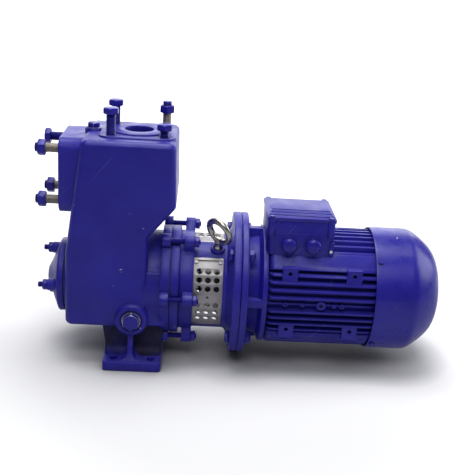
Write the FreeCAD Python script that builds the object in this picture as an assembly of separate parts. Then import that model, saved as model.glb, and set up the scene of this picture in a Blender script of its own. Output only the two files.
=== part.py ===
import FreeCAD
import Part
import math
import os
from FreeCAD import Vector

# Self-priming pump, close-coupled to a flange motor. Millimetres.
# X runs along the shaft from the pump to the motor, Z is up, and the camera side is -Y.
# The origin is the middle of the foot's four holes, on the underside of the foot.

# Main heights and stations along the shaft
shaft_height = 132.0
discharge_x = -3.0
suction_z = 327.0
suction_face_x = -133.0
casing_flange_x = 44.0
casing_flange_thickness = 15.0
cover_plate_thickness = 15.0
bracket_length = 105.0
clearance = 0.3

# Pipe ports
port_bore = 50.0
port_depth = 40.0
port_pad_width = 128.0
port_pad_corner = 20.0
pad_edge = 2.5
port_bolt_circle = 125.0
port_raised_face = 99.0
port_raised_height = 2.0
port_thread = 16.0
port_hole_depth = 26.0
discharge_bolt_lifts = (34.0, 32.0, 11.0)
suction_bolt_lift = 28.0
suction_stud_tip = 40.0
suction_nut_lift = 22.5
discharge_stud_tip = 44.0
discharge_nut_lift = 24.0

# Casing
wall = 9.0
chamber_half_width = 88.0
chamber_left_x = -117.0
chamber_top_margin = 11.0
chamber_slope_z = 278.0
chamber_least_top_z = 396.0
pad_top_margin = 5.0
discharge_pad_height = 5.0
chin_margin = 5.0
chamber_right_low_z = 287.0
chamber_throat_z = 233.0
chamber_throat_x = 21.0
chamber_bottom_z = 70.0
chamber_corner = 11.0
chamber_chin_lean = 3.0
chamber_slope_run = 10.0
chamber_slope_rise = 80.0
box_bottom_step = 2.0
box_round = 5.0
throat_window_x = (3.0, 19.0)
throat_window_y = (-70.0, -30.0)
box_half_width = 82.0
box_right_x = 54.0
box_ledge_z = 172.0
volute_radius = 86.0
volute_inner_radius = 76.0
volute_left_x = -12.0
suction_eye_radius = 31.0
eye_pipe_left_x = -60.0

# Foot
foot_length = 100.0
foot_width = 224.0
foot_thickness = 16.0
foot_web = 16.0
foot_rib = 9.0
foot_flare = 14.0
foot_plate_round = 6.0
foot_web_low_inset = 6.0
foot_web_high_inset = 2.0
foot_rib_stand_out = 2.0
foot_rib_back_inset = 4.0
foot_rib_end_inset = 8.0
foot_rib_slope = 30.0
foot_hole = 14.0
foot_hole_margin_x = 18.0
foot_hole_margin_y = 19.0

# Screw threads are plain cylinders of the nominal size
cover_stud = 10.0
joint_stud = 10.0
joint_bolt_circle = 204.0
joint_stud_count = 6
joint_lug_radius = 12.0
joint_flange_radius = 96.0
motor_bolt = 12.0
nut_height_share = 0.8

# Hand-hole cover on the suction side
handhole_radius = 38.0
handhole_seat_height = 5.0
handhole_cover_radius = 65.0
handhole_rim = 11.0
handhole_dome = 22.0
handhole_dome_shoulder = 6.0
handhole_dome_radius = 26.0
handhole_dome_flat = 14.0
handhole_stud_end = 16.0
handhole_stud_root = 11.0
handhole_boss_height = 18.0
handhole_boss_radius = 10.0
handhole_stud_circle = 92.0
handhole_stud_angle = 95.0
gasket = 1.5

# Seal room in the casing cover
cover_hub_radius = 40.0
cover_hub_height = 12.0
seal_room_radius = 26.0
seal_seat_radius = 22.0
seal_seat_depth = 9.0

# Plugs
drain_x = -4.0
drain_z = 84.0
drain_boss_radius = 25.0
drain_boss_height = 7.0
drain_boss_round = 3.0
drain_head_height = 9.0
plug_thread = 20.0
plug_thread_length = 14.0
plug_hole_depth = 30.0
plug_collar_height = 3.0
plug_collar = 16.0
plug_hex = 27.0
filler_margin = 13.0
filler_land_radius = 15.0
filler_land_height = 3.0
filler_hex = 19.0
filler_collar = 13.0
filler_collar_height = 2.0
filler_head_height = 8.0

# Bracket between pump and motor
bracket_gap = 7.0
bracket_flange_thickness = 17.0
bracket_step = 6.0
bracket_wall = 9.0
bracket_flare_length = 16.0
bracket_lug_neck_half_angle = 6.5
bracket_arm_angle = 30.0
bracket_arm_half_angle = 13.0
bracket_arm_count = 3
bracket_spigot_radius = 78.0
guard_thickness = 1.5
guard_hole = 10.0
guard_pitch = 15.0
guard_screw_hole = 4.0

# Motor
motor_flange_radius = 125.0
motor_flange_thickness = 12.0
adapter_flange_thickness = 14.0
motor_spigot_most_radius = 90.0
motor_spigot_margin = 17.5
motor_spigot = 4.0
motor_bolt_edge = 17.5
flange_round = 2.5
shield_radius = 104.0
shield_length = 46.0
shield_neck_most_radius = 86.0
shield_neck_margin = 21.5
shield_neck_depth = 14.0
shield_rim = 8.0
shield_rib_depth = 26.0
shield_rib_half_angle = 4.0
housing_length = 188.0
housing_core_radius = 90.0
housing_fin_radius = 105.0
housing_wall = 6.0
fin_pitch = 12.5
fin_thickness = 3.4
fin_rows = 4
fin_end_round = 12.0
middle_fin_radius = 96.0
middle_boss_radius = 101.0
middle_boss_row = ((31.5, 4.0, 1.5), (60.5, 3.5, 1.0), (92.5, 8.0, 3.5), (114.5, 3.5, 1.0), (128.5, 4.0, 1.5))
shoulder_angle = 47.0
rail_angle = 132.0
shoulder_half_angle = 9.0
rail_hole = 12.0
rail_hole_z = 70.0
pad_first = 36.5
pad_span = 110.0
pad_z = 51.0
pad_size = 26.0
pad_face_y = 96.0
fan_cover_radius = 109.0
fan_cover_straight = 66.0
fan_cover_length = 124.0
fan_cover_wall = 2.0
fan_cover_end_radius = 66.0
fan_cover_overlap = 4.0
fan_slot_radii = (12.0, 22.0, 32.0, 42.0)
fan_slot_width = 6.0
fan_spoke_half = 3.0
cover_screw = 5.0
cover_screw_length = 14.0
cover_screw_inset = 8.0
seal_face_gap = 0.1

# Terminal box
box_offset = 52.0
box_y = -12.0
box_half = 57.5
box_base_z = 58.0
box_rim_z = 139.0
box_lid_z = 153.0
box_lid_flat = 32.0
lid_edge = 6.0
box_wall = 4.0
box_corner = 10.0
entry_offsets = (-19.5, 22.0)
ear_radius = 6.5
ear_inset_x = 7.0
ear_inset_y = 2.0
ear_depth = 26.0
lid_screw = 5.0
lid_groove = 1.8
lid_groove_depth = 1.4
entry_z = 97.5
entry_hole = 25.0
entry_boss = 15.5
board_half_length = 30.0
board_front = 15.0
board_back = 45.0
board_height = 8.0
board_post_radius = 2.5
board_post_height = 12.0
board_post_dx = 18.0
board_post_dy = 8.0

# Rotating parts
motor_shaft_radius = 14.0
motor_shaft_length = 60.0
bearing_bore = 30.0
bearing_outer = 62.0
bearing_width = 16.0
stator_outer = 83.0
stator_inner = 55.0
air_gap = 0.5
stator_length = 120.0
impeller_radius = 66.0
impeller_back = 4.0
impeller_vanes = 6
impeller_hub_radius = 20.0
vane_height = 22.0
vane_thickness = 4.0
pump_shaft_radius = 15.0
impeller_seat_radius = 11.0
coupling_radius = 25.0
fan_radius = 92.0
fan_blades = 7
fan_width = 34.0
fan_hub_radius = 22.0
fan_disc = 3.0
shaft_tail_radius = 12.0
eyebolt_offset = 64.5
eyebolt_neck = 18.0
eyebolt_thread = 12.0
port_boss_radius = 14.0
port_boss_bottom = 6.0
eyebolt_ring_radius = 21.5
eyebolt_wire_radius = 5.5
eyebolt_turn = -40.0

# Stations that follow from the sizes above
casing_face_x = casing_flange_x + casing_flange_thickness
cover_back_x = casing_face_x + gasket + cover_plate_thickness
bracket_lug_x = cover_back_x + bracket_gap
bracket_nut_x = bracket_lug_x + bracket_flange_thickness
motor_face_x = cover_back_x + bracket_length
shield_end_x = motor_face_x + shield_length
housing_end_x = shield_end_x + housing_length
fan_cover_x = housing_end_x - fan_cover_overlap
handhole_face_x = chamber_left_x - handhole_seat_height
filler_x = discharge_x - port_pad_width / 2 - filler_margin
chamber_left_top_x = filler_x - chamber_top_margin
chamber_right_x = discharge_x + port_pad_width / 2 + chin_margin
motor_bolt_circle = 2 * (motor_flange_radius - motor_bolt_edge)
motor_spigot_radius = min(motor_spigot_most_radius, motor_bolt_circle / 2 - motor_spigot_margin)
bracket_radius = motor_spigot_radius - bracket_step
shield_neck_radius = min(shield_neck_most_radius, motor_bolt_circle / 2 - shield_neck_margin)
chamber_top_z = max(chamber_least_top_z, suction_z + port_pad_width / 2 + pad_top_margin)
discharge_face_z = chamber_top_z + discharge_pad_height
foot_hole_dx = foot_length - 2 * foot_hole_margin_x
foot_hole_dy = foot_width - 2 * foot_hole_margin_y
eyebolt_x = cover_back_x + eyebolt_offset
pad_x = (shield_end_x + pad_first, shield_end_x + pad_first + pad_span)
box_x = shield_end_x + box_offset
entry_x = [box_x + offset for offset in entry_offsets]


def along_x(radius, start, end, y=0.0, z=shaft_height):
    """Round bar along the shaft direction."""
    return Part.makeCylinder(radius, end - start, Vector(start, y, z), Vector(1, 0, 0))


def tube_x(outer, inner, start, end):
    """Ring about the shaft axis."""
    return along_x(outer, start, end).cut(along_x(inner, start - 1, end + 1))


def box(x0, x1, y0, y1, z0, z1):
    """Block between two corners."""
    return Part.makeBox(x1 - x0, y1 - y0, z1 - z0, Vector(x0, y0, z0))


def prism_y(points, half_width):
    """Outline in X and Z, drawn out to both sides of the middle plane."""
    corners = [Vector(x, -half_width, z) for x, z in points]
    face = Part.Face(Part.makePolygon(corners + corners[:1]))
    return face.extrude(Vector(0, 2 * half_width, 0))


def turned(points):
    """Solid turned about the shaft axis from (x, radius) points."""
    corners = [Vector(x, 0, shaft_height + radius) for x, radius in points]
    face = Part.Face(Part.makePolygon(corners + corners[:1]))
    return face.revolve(Vector(0, 0, shaft_height), Vector(1, 0, 0), 360)


def hexagon(flats, height, base, direction):
    """Hexagonal block standing on base along direction."""
    corner = flats / math.sqrt(3)
    points = [
        Vector(corner * math.cos(math.radians(60 * k)), corner * math.sin(math.radians(60 * k)), 0)
        for k in range(7)
    ]
    block = Part.Face(Part.makePolygon(points)).extrude(Vector(0, 0, height))
    block.Placement = FreeCAD.Placement(base, FreeCAD.Rotation(Vector(0, 0, 1), direction))
    return block


def across_flats(thread):
    """Wrench size of a standard metric nut."""
    return {10.0: 17.0, 12.0: 19.0, 16.0: 24.0}.get(thread, 1.6 * thread)


def nut(thread, base, direction):
    """Hexagon nut with its hole, standing on base."""
    height = nut_height_share * thread
    hole = Part.makeCylinder(thread / 2, height, base, direction)
    return hexagon(across_flats(thread), height, base, direction).cut(hole)


def hex_bolt(thread, shank, base, direction):
    """Hexagon bolt whose head stands on base and whose shank runs the other way."""
    head = hexagon(across_flats(thread), 0.65 * thread, base, direction)
    bar = Part.makeCylinder(thread / 2, shank, base, direction.negative())
    return head.fuse(bar).removeSplitter()


def polar(radius, angle, x):
    """Point at an angle from the top, turning towards the camera side."""
    turn = math.radians(angle)
    return Vector(x, -radius * math.sin(turn), shaft_height + radius * math.cos(turn))


def joint_angles():
    """Angles of the six studs; two lie level with the shaft."""
    step = 360 / joint_stud_count
    return [step / 2 + step * k for k in range(joint_stud_count)]


def handhole_angles():
    """Angles of the three studs of the cleaning cover."""
    return [handhole_stud_angle + 120 * k for k in range(3)]


def port_offsets():
    """Corner places of the four flange holes."""
    half = port_bolt_circle / 2 / math.sqrt(2)
    return [(-half, -half), (half, -half), (half, half), (-half, half)]


def rounded_pad(width, height, corner, base, direction):
    """Square pad with round corners, centred on base."""
    pad = Part.makeBox(width, width, height, Vector(-width / 2, -width / 2, 0))
    uprights = [e for e in pad.Edges if abs(e.tangentAt(e.FirstParameter).z) > 0.9]
    pad = pad.makeFillet(corner, uprights)
    pad = fillet_where(pad, pad_edge, lambda c: c.z > height - 0.1)
    pad.Placement = FreeCAD.Placement(base, FreeCAD.Rotation(Vector(0, 0, 1), direction))
    return pad


def fillet_where(shape, radius, test):
    """Round the edges whose middle passes the test."""
    chosen = [e for e in shape.Edges if test(e.CenterOfMass)]
    return shape.makeFillet(radius, chosen)


def round_rims(shape, rim_radius, fillet):
    """Round both edges of the rim that has the given radius."""
    circles = [e for e in shape.Edges if hasattr(e.Curve, "Radius")]
    rims = [e for e in circles if abs(e.Curve.Radius - rim_radius) < 0.01]
    return shape.makeFillet(fillet, rims)


def chamber_outline(inset):
    """Side outline of the priming chamber, drawn inwards by inset."""
    slope = chamber_right_x - chamber_throat_x
    drop = (chamber_right_low_z - chamber_throat_z) / slope
    return [
        (chamber_left_x + inset, chamber_bottom_z + inset),
        (chamber_throat_x - inset, chamber_bottom_z + inset),
        (chamber_throat_x - inset, chamber_throat_z + inset * (1 - drop)),
        (chamber_right_x - inset, chamber_right_low_z + inset * (1 - drop)),
        (chamber_right_x - inset - chamber_chin_lean, chamber_top_z - inset),
        (chamber_left_top_x + inset, chamber_top_z - inset),
        (chamber_left_x + chamber_slope_run + inset, chamber_slope_z),
        (chamber_left_x + inset, chamber_slope_z - chamber_slope_rise),
    ]


def casing_shell():
    """Priming chamber: a tall box with a slanting back and a chin over the joint."""
    outer = prism_y(chamber_outline(0), chamber_half_width)
    outer = outer.makeFillet(chamber_corner, outer.Edges)
    lower = prism_y(
        [
            (chamber_throat_x - wall, chamber_bottom_z + box_bottom_step),
            (box_right_x, chamber_bottom_z + box_bottom_step),
            (box_right_x, box_ledge_z),
            (chamber_throat_x - wall, box_ledge_z),
        ],
        box_half_width,
    )
    lower = fillet_where(
        lower, box_round, lambda c: abs(c.y) > box_half_width - 1 and c.x > chamber_throat_x
    )
    volute = along_x(volute_radius, chamber_throat_x - wall, casing_flange_x)
    return outer.fuse([lower, volute])


def casing_ports():
    """Square pads of the two pipe connections."""
    suction_base = Vector(chamber_left_top_x + wall, 0, suction_z)
    suction = rounded_pad(
        port_pad_width,
        suction_base.x - suction_face_x - port_raised_height,
        port_pad_corner,
        suction_base,
        Vector(-1, 0, 0),
    )
    suction_ring = along_x(port_raised_face / 2, suction_face_x, suction_face_x + 20, z=suction_z)
    top_z = discharge_face_z - port_raised_height
    pad_root = chamber_top_z - wall
    discharge = rounded_pad(
        port_pad_width,
        top_z - pad_root,
        port_pad_corner,
        Vector(discharge_x, 0, pad_root),
        Vector(0, 0, 1),
    )
    discharge_ring = Part.makeCylinder(
        port_raised_face / 2, discharge_face_z - pad_root, Vector(discharge_x, 0, pad_root)
    )
    return [suction, suction_ring, discharge, discharge_ring]


def port_cuts():
    """Pipe bores and tapped holes."""
    cuts = [along_x(port_bore / 2, suction_face_x - 1, suction_face_x + port_depth + 20, z=suction_z)]
    top = Vector(discharge_x, 0, discharge_face_z + 1)
    cuts.append(Part.makeCylinder(port_bore / 2, port_depth + 1, top, Vector(0, 0, -1)))
    for dy, dz in port_offsets():
        start = Vector(suction_face_x - 1, dy, suction_z + dz)
        cuts.append(Part.makeCylinder(port_thread / 2, port_hole_depth + 1, start, Vector(1, 0, 0)))
    for dx, dy in port_offsets():
        start = Vector(discharge_x + dx, dy, discharge_face_z + 1)
        cuts.append(Part.makeCylinder(port_thread / 2, port_hole_depth + 1, start, Vector(0, 0, -1)))
    return cuts


def flared_rib(top):
    """Cross rib of the foot seen from the side: it spreads in two arcs onto the plate."""
    left = drain_x - foot_rib / 2
    right = drain_x + foot_rib / 2
    low = foot_thickness
    high = low + foot_flare
    bend = foot_flare * (1 - math.cos(math.radians(45)))

    def point(x, z):
        return Vector(x, -foot_width / 2, z)

    edges = [
        Part.LineSegment(point(left - foot_flare, low), point(left - foot_flare, low - 1)),
        Part.LineSegment(point(left - foot_flare, low - 1), point(right + foot_flare, low - 1)),
        Part.LineSegment(point(right + foot_flare, low - 1), point(right + foot_flare, low)),
        Part.Arc(point(right + foot_flare, low), point(right + bend, low + bend), point(right, high)),
        Part.LineSegment(point(right, high), point(right, top)),
        Part.LineSegment(point(right, top), point(left, top)),
        Part.LineSegment(point(left, top), point(left, high)),
        Part.Arc(point(left, high), point(left - bend, low + bend), point(left - foot_flare, low)),
    ]
    outline = Part.Wire([edge.toShape() for edge in edges])
    return Part.Face(outline).extrude(Vector(0, foot_width, 0))


def port_bosses():
    """Blind bosses under the roof for the four tapped holes of the outlet."""
    bottom = discharge_face_z - port_hole_depth - port_boss_bottom
    height = chamber_top_z - wall / 2 - bottom
    return [
        Part.makeCylinder(port_boss_radius, height, Vector(discharge_x + dx, dy, bottom))
        for dx, dy in port_offsets()
    ]


def pedestal():
    """Cast foot: plate, lengthwise web and the cross rib that runs up to the drain boss."""
    half = foot_length / 2
    reach = foot_width / 2
    plate = box(-half, half, -reach, reach, 0, foot_thickness)
    plate = fillet_where(
        plate, foot_plate_round, lambda c: abs(c.z - foot_thickness / 2) < 0.1 and abs(c.y) > reach - 1
    )
    top = chamber_bottom_z + wall / 2
    low = half - foot_web_low_inset
    high = half - foot_web_high_inset
    web = prism_y([(-low, 0), (low, 0), (high, top), (-high, top)], foot_web / 2)
    near = chamber_half_width + foot_rib_stand_out
    back = near - foot_rib_back_inset
    end = reach - foot_rib_end_inset
    bend = foot_thickness + foot_rib_slope
    side = [
        Vector(-half, -end, 0),
        Vector(-half, -end, foot_thickness),
        Vector(-half, -near, bend),
        Vector(-half, -near, top),
        Vector(-half, back, top),
        Vector(-half, back, bend),
        Vector(-half, end, foot_thickness),
        Vector(-half, end, 0),
    ]
    envelope = Part.Face(Part.makePolygon(side + side[:1])).extrude(Vector(foot_length, 0, 0))
    rib = flared_rib(top).common(envelope)
    holes = [
        Part.makeCylinder(foot_hole / 2, foot_thickness + foot_flare + 2, Vector(x, y, -1))
        for x in (-foot_hole_dx / 2, foot_hole_dx / 2)
        for y in (-foot_hole_dy / 2, foot_hole_dy / 2)
    ]
    return plate.fuse([web, rib]).cut(Part.makeCompound(holes))


def pump_casing():
    """One casting: chamber, volute, ports, joint flange and foot."""
    body = casing_shell()
    ring = along_x(joint_flange_radius, casing_flange_x, casing_face_x)
    lugs = []
    for angle in joint_angles():
        centre = polar(joint_bolt_circle / 2, angle, casing_flange_x)
        lugs.append(along_x(joint_lug_radius, casing_flange_x, casing_face_x, centre.y, centre.z))
    seat = along_x(handhole_cover_radius, handhole_face_x, chamber_left_x + wall)
    drain_boss = Part.makeCylinder(
        drain_boss_radius,
        wall + drain_boss_height,
        Vector(drain_x, -chamber_half_width + wall, drain_z),
        Vector(0, -1, 0),
    )
    boss_face = -chamber_half_width - drain_boss_height
    drain_boss = fillet_where(drain_boss, drain_boss_round, lambda c: c.y < boss_face + 0.1)
    filler_pad = Part.makeCylinder(
        filler_land_radius, wall + filler_land_height, Vector(filler_x, 0, chamber_top_z - wall)
    )
    extra = casing_ports() + [ring, seat, drain_boss, filler_pad, pedestal()] + lugs
    body = body.fuse(extra)

    inside = prism_y(chamber_outline(wall), chamber_half_width - wall)
    scroll = along_x(volute_inner_radius + wall, volute_left_x, casing_face_x)
    neck = along_x(suction_eye_radius + wall, eye_pipe_left_x, volute_left_x + 1)
    inside = inside.cut(scroll.fuse(neck))
    body = body.cut(inside).fuse(port_bosses())
    cuts = port_cuts()
    cuts.append(along_x(volute_inner_radius, volute_left_x + wall, casing_face_x + 1))
    cuts.append(along_x(suction_eye_radius, eye_pipe_left_x - 1, volute_left_x + wall + 1))
    throat_top = shaft_height + volute_inner_radius + wall + 2
    cuts.append(box(*throat_window_x, *throat_window_y, shaft_height, throat_top))
    cuts.append(along_x(handhole_radius, handhole_face_x - 1, chamber_left_x + wall + 1))
    for angle in joint_angles():
        centre = polar(joint_bolt_circle / 2, angle, 0)
        cuts.append(along_x(joint_stud / 2, casing_flange_x - 1, casing_face_x + 1, centre.y, centre.z))
    for angle in handhole_angles():
        centre = polar(handhole_stud_circle / 2, angle, 0)
        depth = handhole_face_x + handhole_stud_root + 1
        cuts.append(along_x(cover_stud / 2, handhole_face_x - 1, depth, centre.y, centre.z))
    drain_mouth = Vector(drain_x, boss_face - 1, drain_z)
    cuts.append(Part.makeCylinder(plug_thread / 2, plug_hole_depth, drain_mouth, Vector(0, 1, 0)))
    filler_mouth = Vector(filler_x, 0, chamber_top_z - plug_hole_depth + 5)
    cuts.append(Part.makeCylinder(plug_thread / 2, plug_hole_depth, filler_mouth))
    return body.cut(Part.makeCompound(cuts)).removeSplitter()


def drain_plug():
    """Hexagon plug with a collar, screwed into the drain boss."""
    face = Vector(drain_x, -chamber_half_width - drain_boss_height, drain_z)
    out = Vector(0, -1, 0)
    collar = Part.makeCylinder(plug_collar, plug_collar_height, face, out)
    head = hexagon(plug_hex, drain_head_height, face + out * plug_collar_height, out)
    thread = Part.makeCylinder(plug_thread / 2, plug_thread_length, face, Vector(0, 1, 0))
    return collar.fuse([head, thread]).removeSplitter()


def filler_plug():
    """Small hexagon plug on the low pad beside the outlet."""
    face = Vector(filler_x, 0, chamber_top_z + filler_land_height)
    up = Vector(0, 0, 1)
    collar = Part.makeCylinder(filler_collar, filler_collar_height, face)
    head = hexagon(filler_hex, filler_head_height, face + up * filler_collar_height, up)
    thread = Part.makeCylinder(plug_thread / 2, plug_thread_length, face, Vector(0, 0, -1))
    return collar.fuse([head, thread]).removeSplitter()


def port_fasteners():
    """Studs, nuts and bolts left in the tapped holes of the two pads."""
    half = port_bolt_circle / 2 / math.sqrt(2)
    left = Vector(-1, 0, 0)
    up = Vector(0, 0, 1)
    pad_face = suction_face_x + port_raised_height
    studs = []
    nuts = []
    for dy, dz in ((-half, half), (-half, -half), (half, -half)):
        root = Vector(pad_face + port_hole_depth - 4, dy, suction_z + dz)
        studs.append(Part.makeCylinder(port_thread / 2, suction_stud_tip + port_hole_depth - 4, root, left))
        nuts.append(nut(port_thread, Vector(pad_face - suction_nut_lift, dy, suction_z + dz), left))
    head = Vector(pad_face - suction_bolt_lift, half, suction_z + half)
    suction_bolt = hex_bolt(port_thread, suction_bolt_lift + port_hole_depth - 6, head, left)

    top = discharge_face_z - port_raised_height
    bolts = []
    corners = ((-half, -half), (-half, half), (half, -half))
    for (dx, dy), lift in zip(corners, discharge_bolt_lifts):
        head = Vector(discharge_x + dx, dy, top + lift)
        bolts.append(hex_bolt(port_thread, lift + port_hole_depth - 8, head, up))
    root = Vector(discharge_x + half, half, top - port_hole_depth + 6)
    stud = Part.makeCylinder(port_thread / 2, discharge_stud_tip + port_hole_depth - 6, root)
    stud_nut = nut(port_thread, Vector(discharge_x + half, half, top + discharge_nut_lift), up)
    return {
        "suction_studs": studs,
        "suction_nuts": nuts,
        "suction_bolt": [suction_bolt],
        "discharge_bolts": bolts,
        "discharge_stud": [stud],
        "discharge_nut": [stud_nut],
    }


def handhole_parts():
    """Domed cleaning cover with three bossed studs and its gasket."""
    rim_x = handhole_face_x - gasket
    back = rim_x - handhole_rim
    apex = back - handhole_dome
    cover = turned(
        [
            (rim_x, 0),
            (rim_x, handhole_cover_radius),
            (back, handhole_cover_radius),
            (apex + handhole_dome_shoulder, handhole_dome_radius),
            (apex, handhole_dome_flat),
            (apex, 0),
        ]
    )
    cover = fillet_where(cover, handhole_rim / 3, lambda c: abs(c.x - back) < 0.1)
    boss_x = back - handhole_boss_height
    holes = []
    bosses = []
    studs = []
    nuts = []
    for angle in handhole_angles():
        centre = polar(handhole_stud_circle / 2, angle, 0)
        bosses.append(along_x(handhole_boss_radius, boss_x, back + 2, centre.y, centre.z))
        holes.append(along_x(cover_stud / 2, boss_x - 1, rim_x + 1, centre.y, centre.z))
        tip = boss_x - handhole_stud_end
        root = handhole_face_x + handhole_stud_root
        studs.append(along_x(cover_stud / 2, tip, root, centre.y, centre.z))
        nuts.append(nut(cover_stud, Vector(boss_x, centre.y, centre.z), Vector(-1, 0, 0)))
    cover = cover.fuse(bosses).cut(Part.makeCompound(holes)).removeSplitter()
    seal = tube_x(handhole_cover_radius - 3, handhole_radius, rim_x, handhole_face_x)
    seal = seal.cut(Part.makeCompound(holes).fuse(studs))
    return {
        "cleaning_cover": [cover],
        "cleaning_cover_gasket": [seal],
        "cleaning_cover_studs": studs,
        "cleaning_cover_nuts": nuts,
    }


def casing_cover_parts():
    """Back cover of the volute, its gasket, and the fixed half of the shaft seal."""
    start = casing_face_x + gasket
    plate = along_x(joint_flange_radius, start, cover_back_x)
    register = along_x(volute_inner_radius - clearance, casing_flange_x + 5, start)
    hub = along_x(cover_hub_radius, cover_back_x, cover_back_x + cover_hub_height)
    cover = plate.fuse([register, hub])
    seal_room = along_x(seal_room_radius, casing_flange_x + 4, cover_back_x + 2)
    seat_room = along_x(seal_seat_radius, cover_back_x, cover_back_x + seal_seat_depth)
    shaft_hole = along_x(pump_shaft_radius + 2, cover_back_x, cover_back_x + cover_hub_height + 1)
    cover = cover.cut(seal_room.fuse([seat_room, shaft_hole])).removeSplitter()
    ring = tube_x(joint_flange_radius - 2, volute_inner_radius, casing_face_x, start)
    seat = tube_x(seal_seat_radius, pump_shaft_radius + 1.5, cover_back_x + 2, cover_back_x + seal_seat_depth)
    wear = tube_x(volute_inner_radius - 1, suction_eye_radius, volute_left_x + wall, volute_left_x + wall + 4)
    return {
        "casing_cover": [cover],
        "casing_gasket": [ring],
        "seal_seat": [seat],
        "wear_plate": [wear],
    }


def casing_joint_fasteners():
    """Six long studs from the casing lugs through the bracket lugs."""
    studs = []
    nuts = []
    for angle in joint_angles():
        centre = polar(joint_bolt_circle / 2, angle, bracket_nut_x)
        end = bracket_nut_x + nut_height_share * joint_stud + 2
        studs.append(along_x(joint_stud / 2, casing_flange_x + 1, end, centre.y, centre.z))
        nuts.append(nut(joint_stud, centre, Vector(1, 0, 0)))
    return {"casing_studs": studs, "casing_nuts": nuts}


def arm_angles():
    """Angles of the middles of the bracket's arms."""
    return [bracket_arm_angle + 360 / bracket_arm_count * k for k in range(bracket_arm_count)]


def sector(outer, inner, start, end, middle, half_angle):
    """Piece of a ring about the shaft, centred on an angle from the top."""
    profile = Part.Face(
        Part.makePolygon(
            [
                Vector(start, 0, shaft_height + inner),
                Vector(end, 0, shaft_height + inner),
                Vector(end, 0, shaft_height + outer),
                Vector(start, 0, shaft_height + outer),
                Vector(start, 0, shaft_height + inner),
            ]
        )
    )
    axis_point = Vector(0, 0, shaft_height)
    profile.rotate(axis_point, Vector(1, 0, 0), middle - half_angle)
    return profile.revolve(axis_point, Vector(1, 0, 0), 2 * half_angle)


def motor_bracket():
    """Cast bracket: spigot ring with six lugs, three arms and a flange for the motor."""
    flare_x = motor_face_x - adapter_flange_thickness
    inner = bracket_radius - bracket_wall
    front_ring = tube_x(bracket_radius, bracket_spigot_radius - 34, cover_back_x + 12.5, bracket_lug_x + 8)
    spigot = tube_x(bracket_radius + 4, bracket_spigot_radius - 12, cover_back_x, bracket_nut_x)
    lugs = []
    lug_holes = []
    for angle in joint_angles():
        centre = polar(joint_bolt_circle / 2, angle, 0)
        lug = along_x(joint_lug_radius - 1, bracket_lug_x, bracket_nut_x, centre.y, centre.z)
        neck = sector(
            joint_bolt_circle / 2, bracket_radius - 4, bracket_lug_x, bracket_nut_x, angle,
            bracket_lug_neck_half_angle,
        )
        lugs.append(lug.fuse(neck))
        lug_holes.append(
            along_x(joint_stud / 2, bracket_lug_x - 1, bracket_nut_x + 1, centre.y, centre.z)
        )
    arms = [
        sector(bracket_radius, inner, bracket_nut_x - 2, flare_x + 2, angle, bracket_arm_half_angle)
        for angle in arm_angles()
    ]
    depth = motor_flange_radius - bracket_radius
    bell = turned(
        [
            (flare_x - bracket_flare_length, inner),
            (motor_face_x - motor_spigot, inner),
            (motor_face_x - motor_spigot, motor_spigot_radius),
            (motor_face_x, motor_spigot_radius),
            (motor_face_x, motor_flange_radius),
            (flare_x, motor_flange_radius),
            (flare_x, bracket_radius + depth / 2),
            (flare_x - 5, bracket_radius + depth / 5),
            (flare_x - 10, bracket_radius + 1),
            (flare_x - bracket_flare_length, bracket_radius),
        ]
    )
    bell = round_rims(bell, motor_flange_radius, flange_round)
    boss_base = polar(bracket_radius - bracket_wall + 1, bracket_arm_angle, eyebolt_x)
    outward = polar(1, bracket_arm_angle, 0) - Vector(0, 0, shaft_height)
    boss = Part.makeCylinder(eyebolt_thread, bracket_wall + 7, boss_base, outward)
    body = spigot.fuse([front_ring, bell, boss] + lugs + arms)
    eye_hole = Part.makeCylinder(eyebolt_thread / 2, 30, boss_base + outward * -2, outward)
    cuts = lug_holes + motor_bolt_holes(flare_x - 8, motor_face_x + 1) + [eye_hole]
    for angle in motor_bolt_angles():
        centre = polar(motor_bolt_circle / 2, angle, 0)
        cuts.append(along_x(motor_bolt + 0.5, flare_x - bracket_flare_length, flare_x, centre.y, centre.z))
    return body.cut(Part.makeCompound(cuts)).removeSplitter()


def motor_bolt_angles():
    """Angles of the four bolts of the motor flange."""
    return [45, 135, 225, 315]


def motor_bolt_holes(start, end):
    """Clear holes for the four bolts of the motor flange."""
    holes = []
    for angle in motor_bolt_angles():
        centre = polar(motor_bolt_circle / 2, angle, 0)
        holes.append(along_x(motor_bolt / 2, start, end, centre.y, centre.z))
    return holes


def guard_sheet(middle):
    """Perforated stainless sheet, rolled to the bracket and seated in one window."""
    window_half = 180 / bracket_arm_count - bracket_arm_half_angle
    start = bracket_nut_x
    end = motor_face_x - adapter_flange_thickness - bracket_flare_length
    outer = bracket_radius
    sheet = sector(outer, outer - guard_thickness, start, end, middle, window_half)
    centre_x = (start + end) / 2
    step = math.degrees(guard_pitch / outer)
    holes = []
    for row in (-3, -2, -1, 1, 2, 3):
        for column in (-1, 0, 1):
            x = centre_x + column * guard_pitch
            base = polar(outer - 6, middle + row * step, x)
            out = polar(12, middle + row * step, x) - polar(0, 0, x)
            holes.append(Part.makeCylinder(guard_hole / 2, 12, base, out))
    base = polar(outer - 6, middle, centre_x)
    out = polar(12, middle, centre_x) - polar(0, 0, centre_x)
    holes.append(Part.makeCylinder(guard_screw_hole / 2, 12, base, out))
    return sheet.cut(Part.makeCompound(holes))


def guards():
    """One sheet for each window between the arms."""
    return {
        "guard_near": [guard_sheet(bracket_arm_angle + 60)],
        "guard_bottom": [guard_sheet(bracket_arm_angle + 180)],
        "guard_top": [guard_sheet(bracket_arm_angle + 300)],
    }


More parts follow.
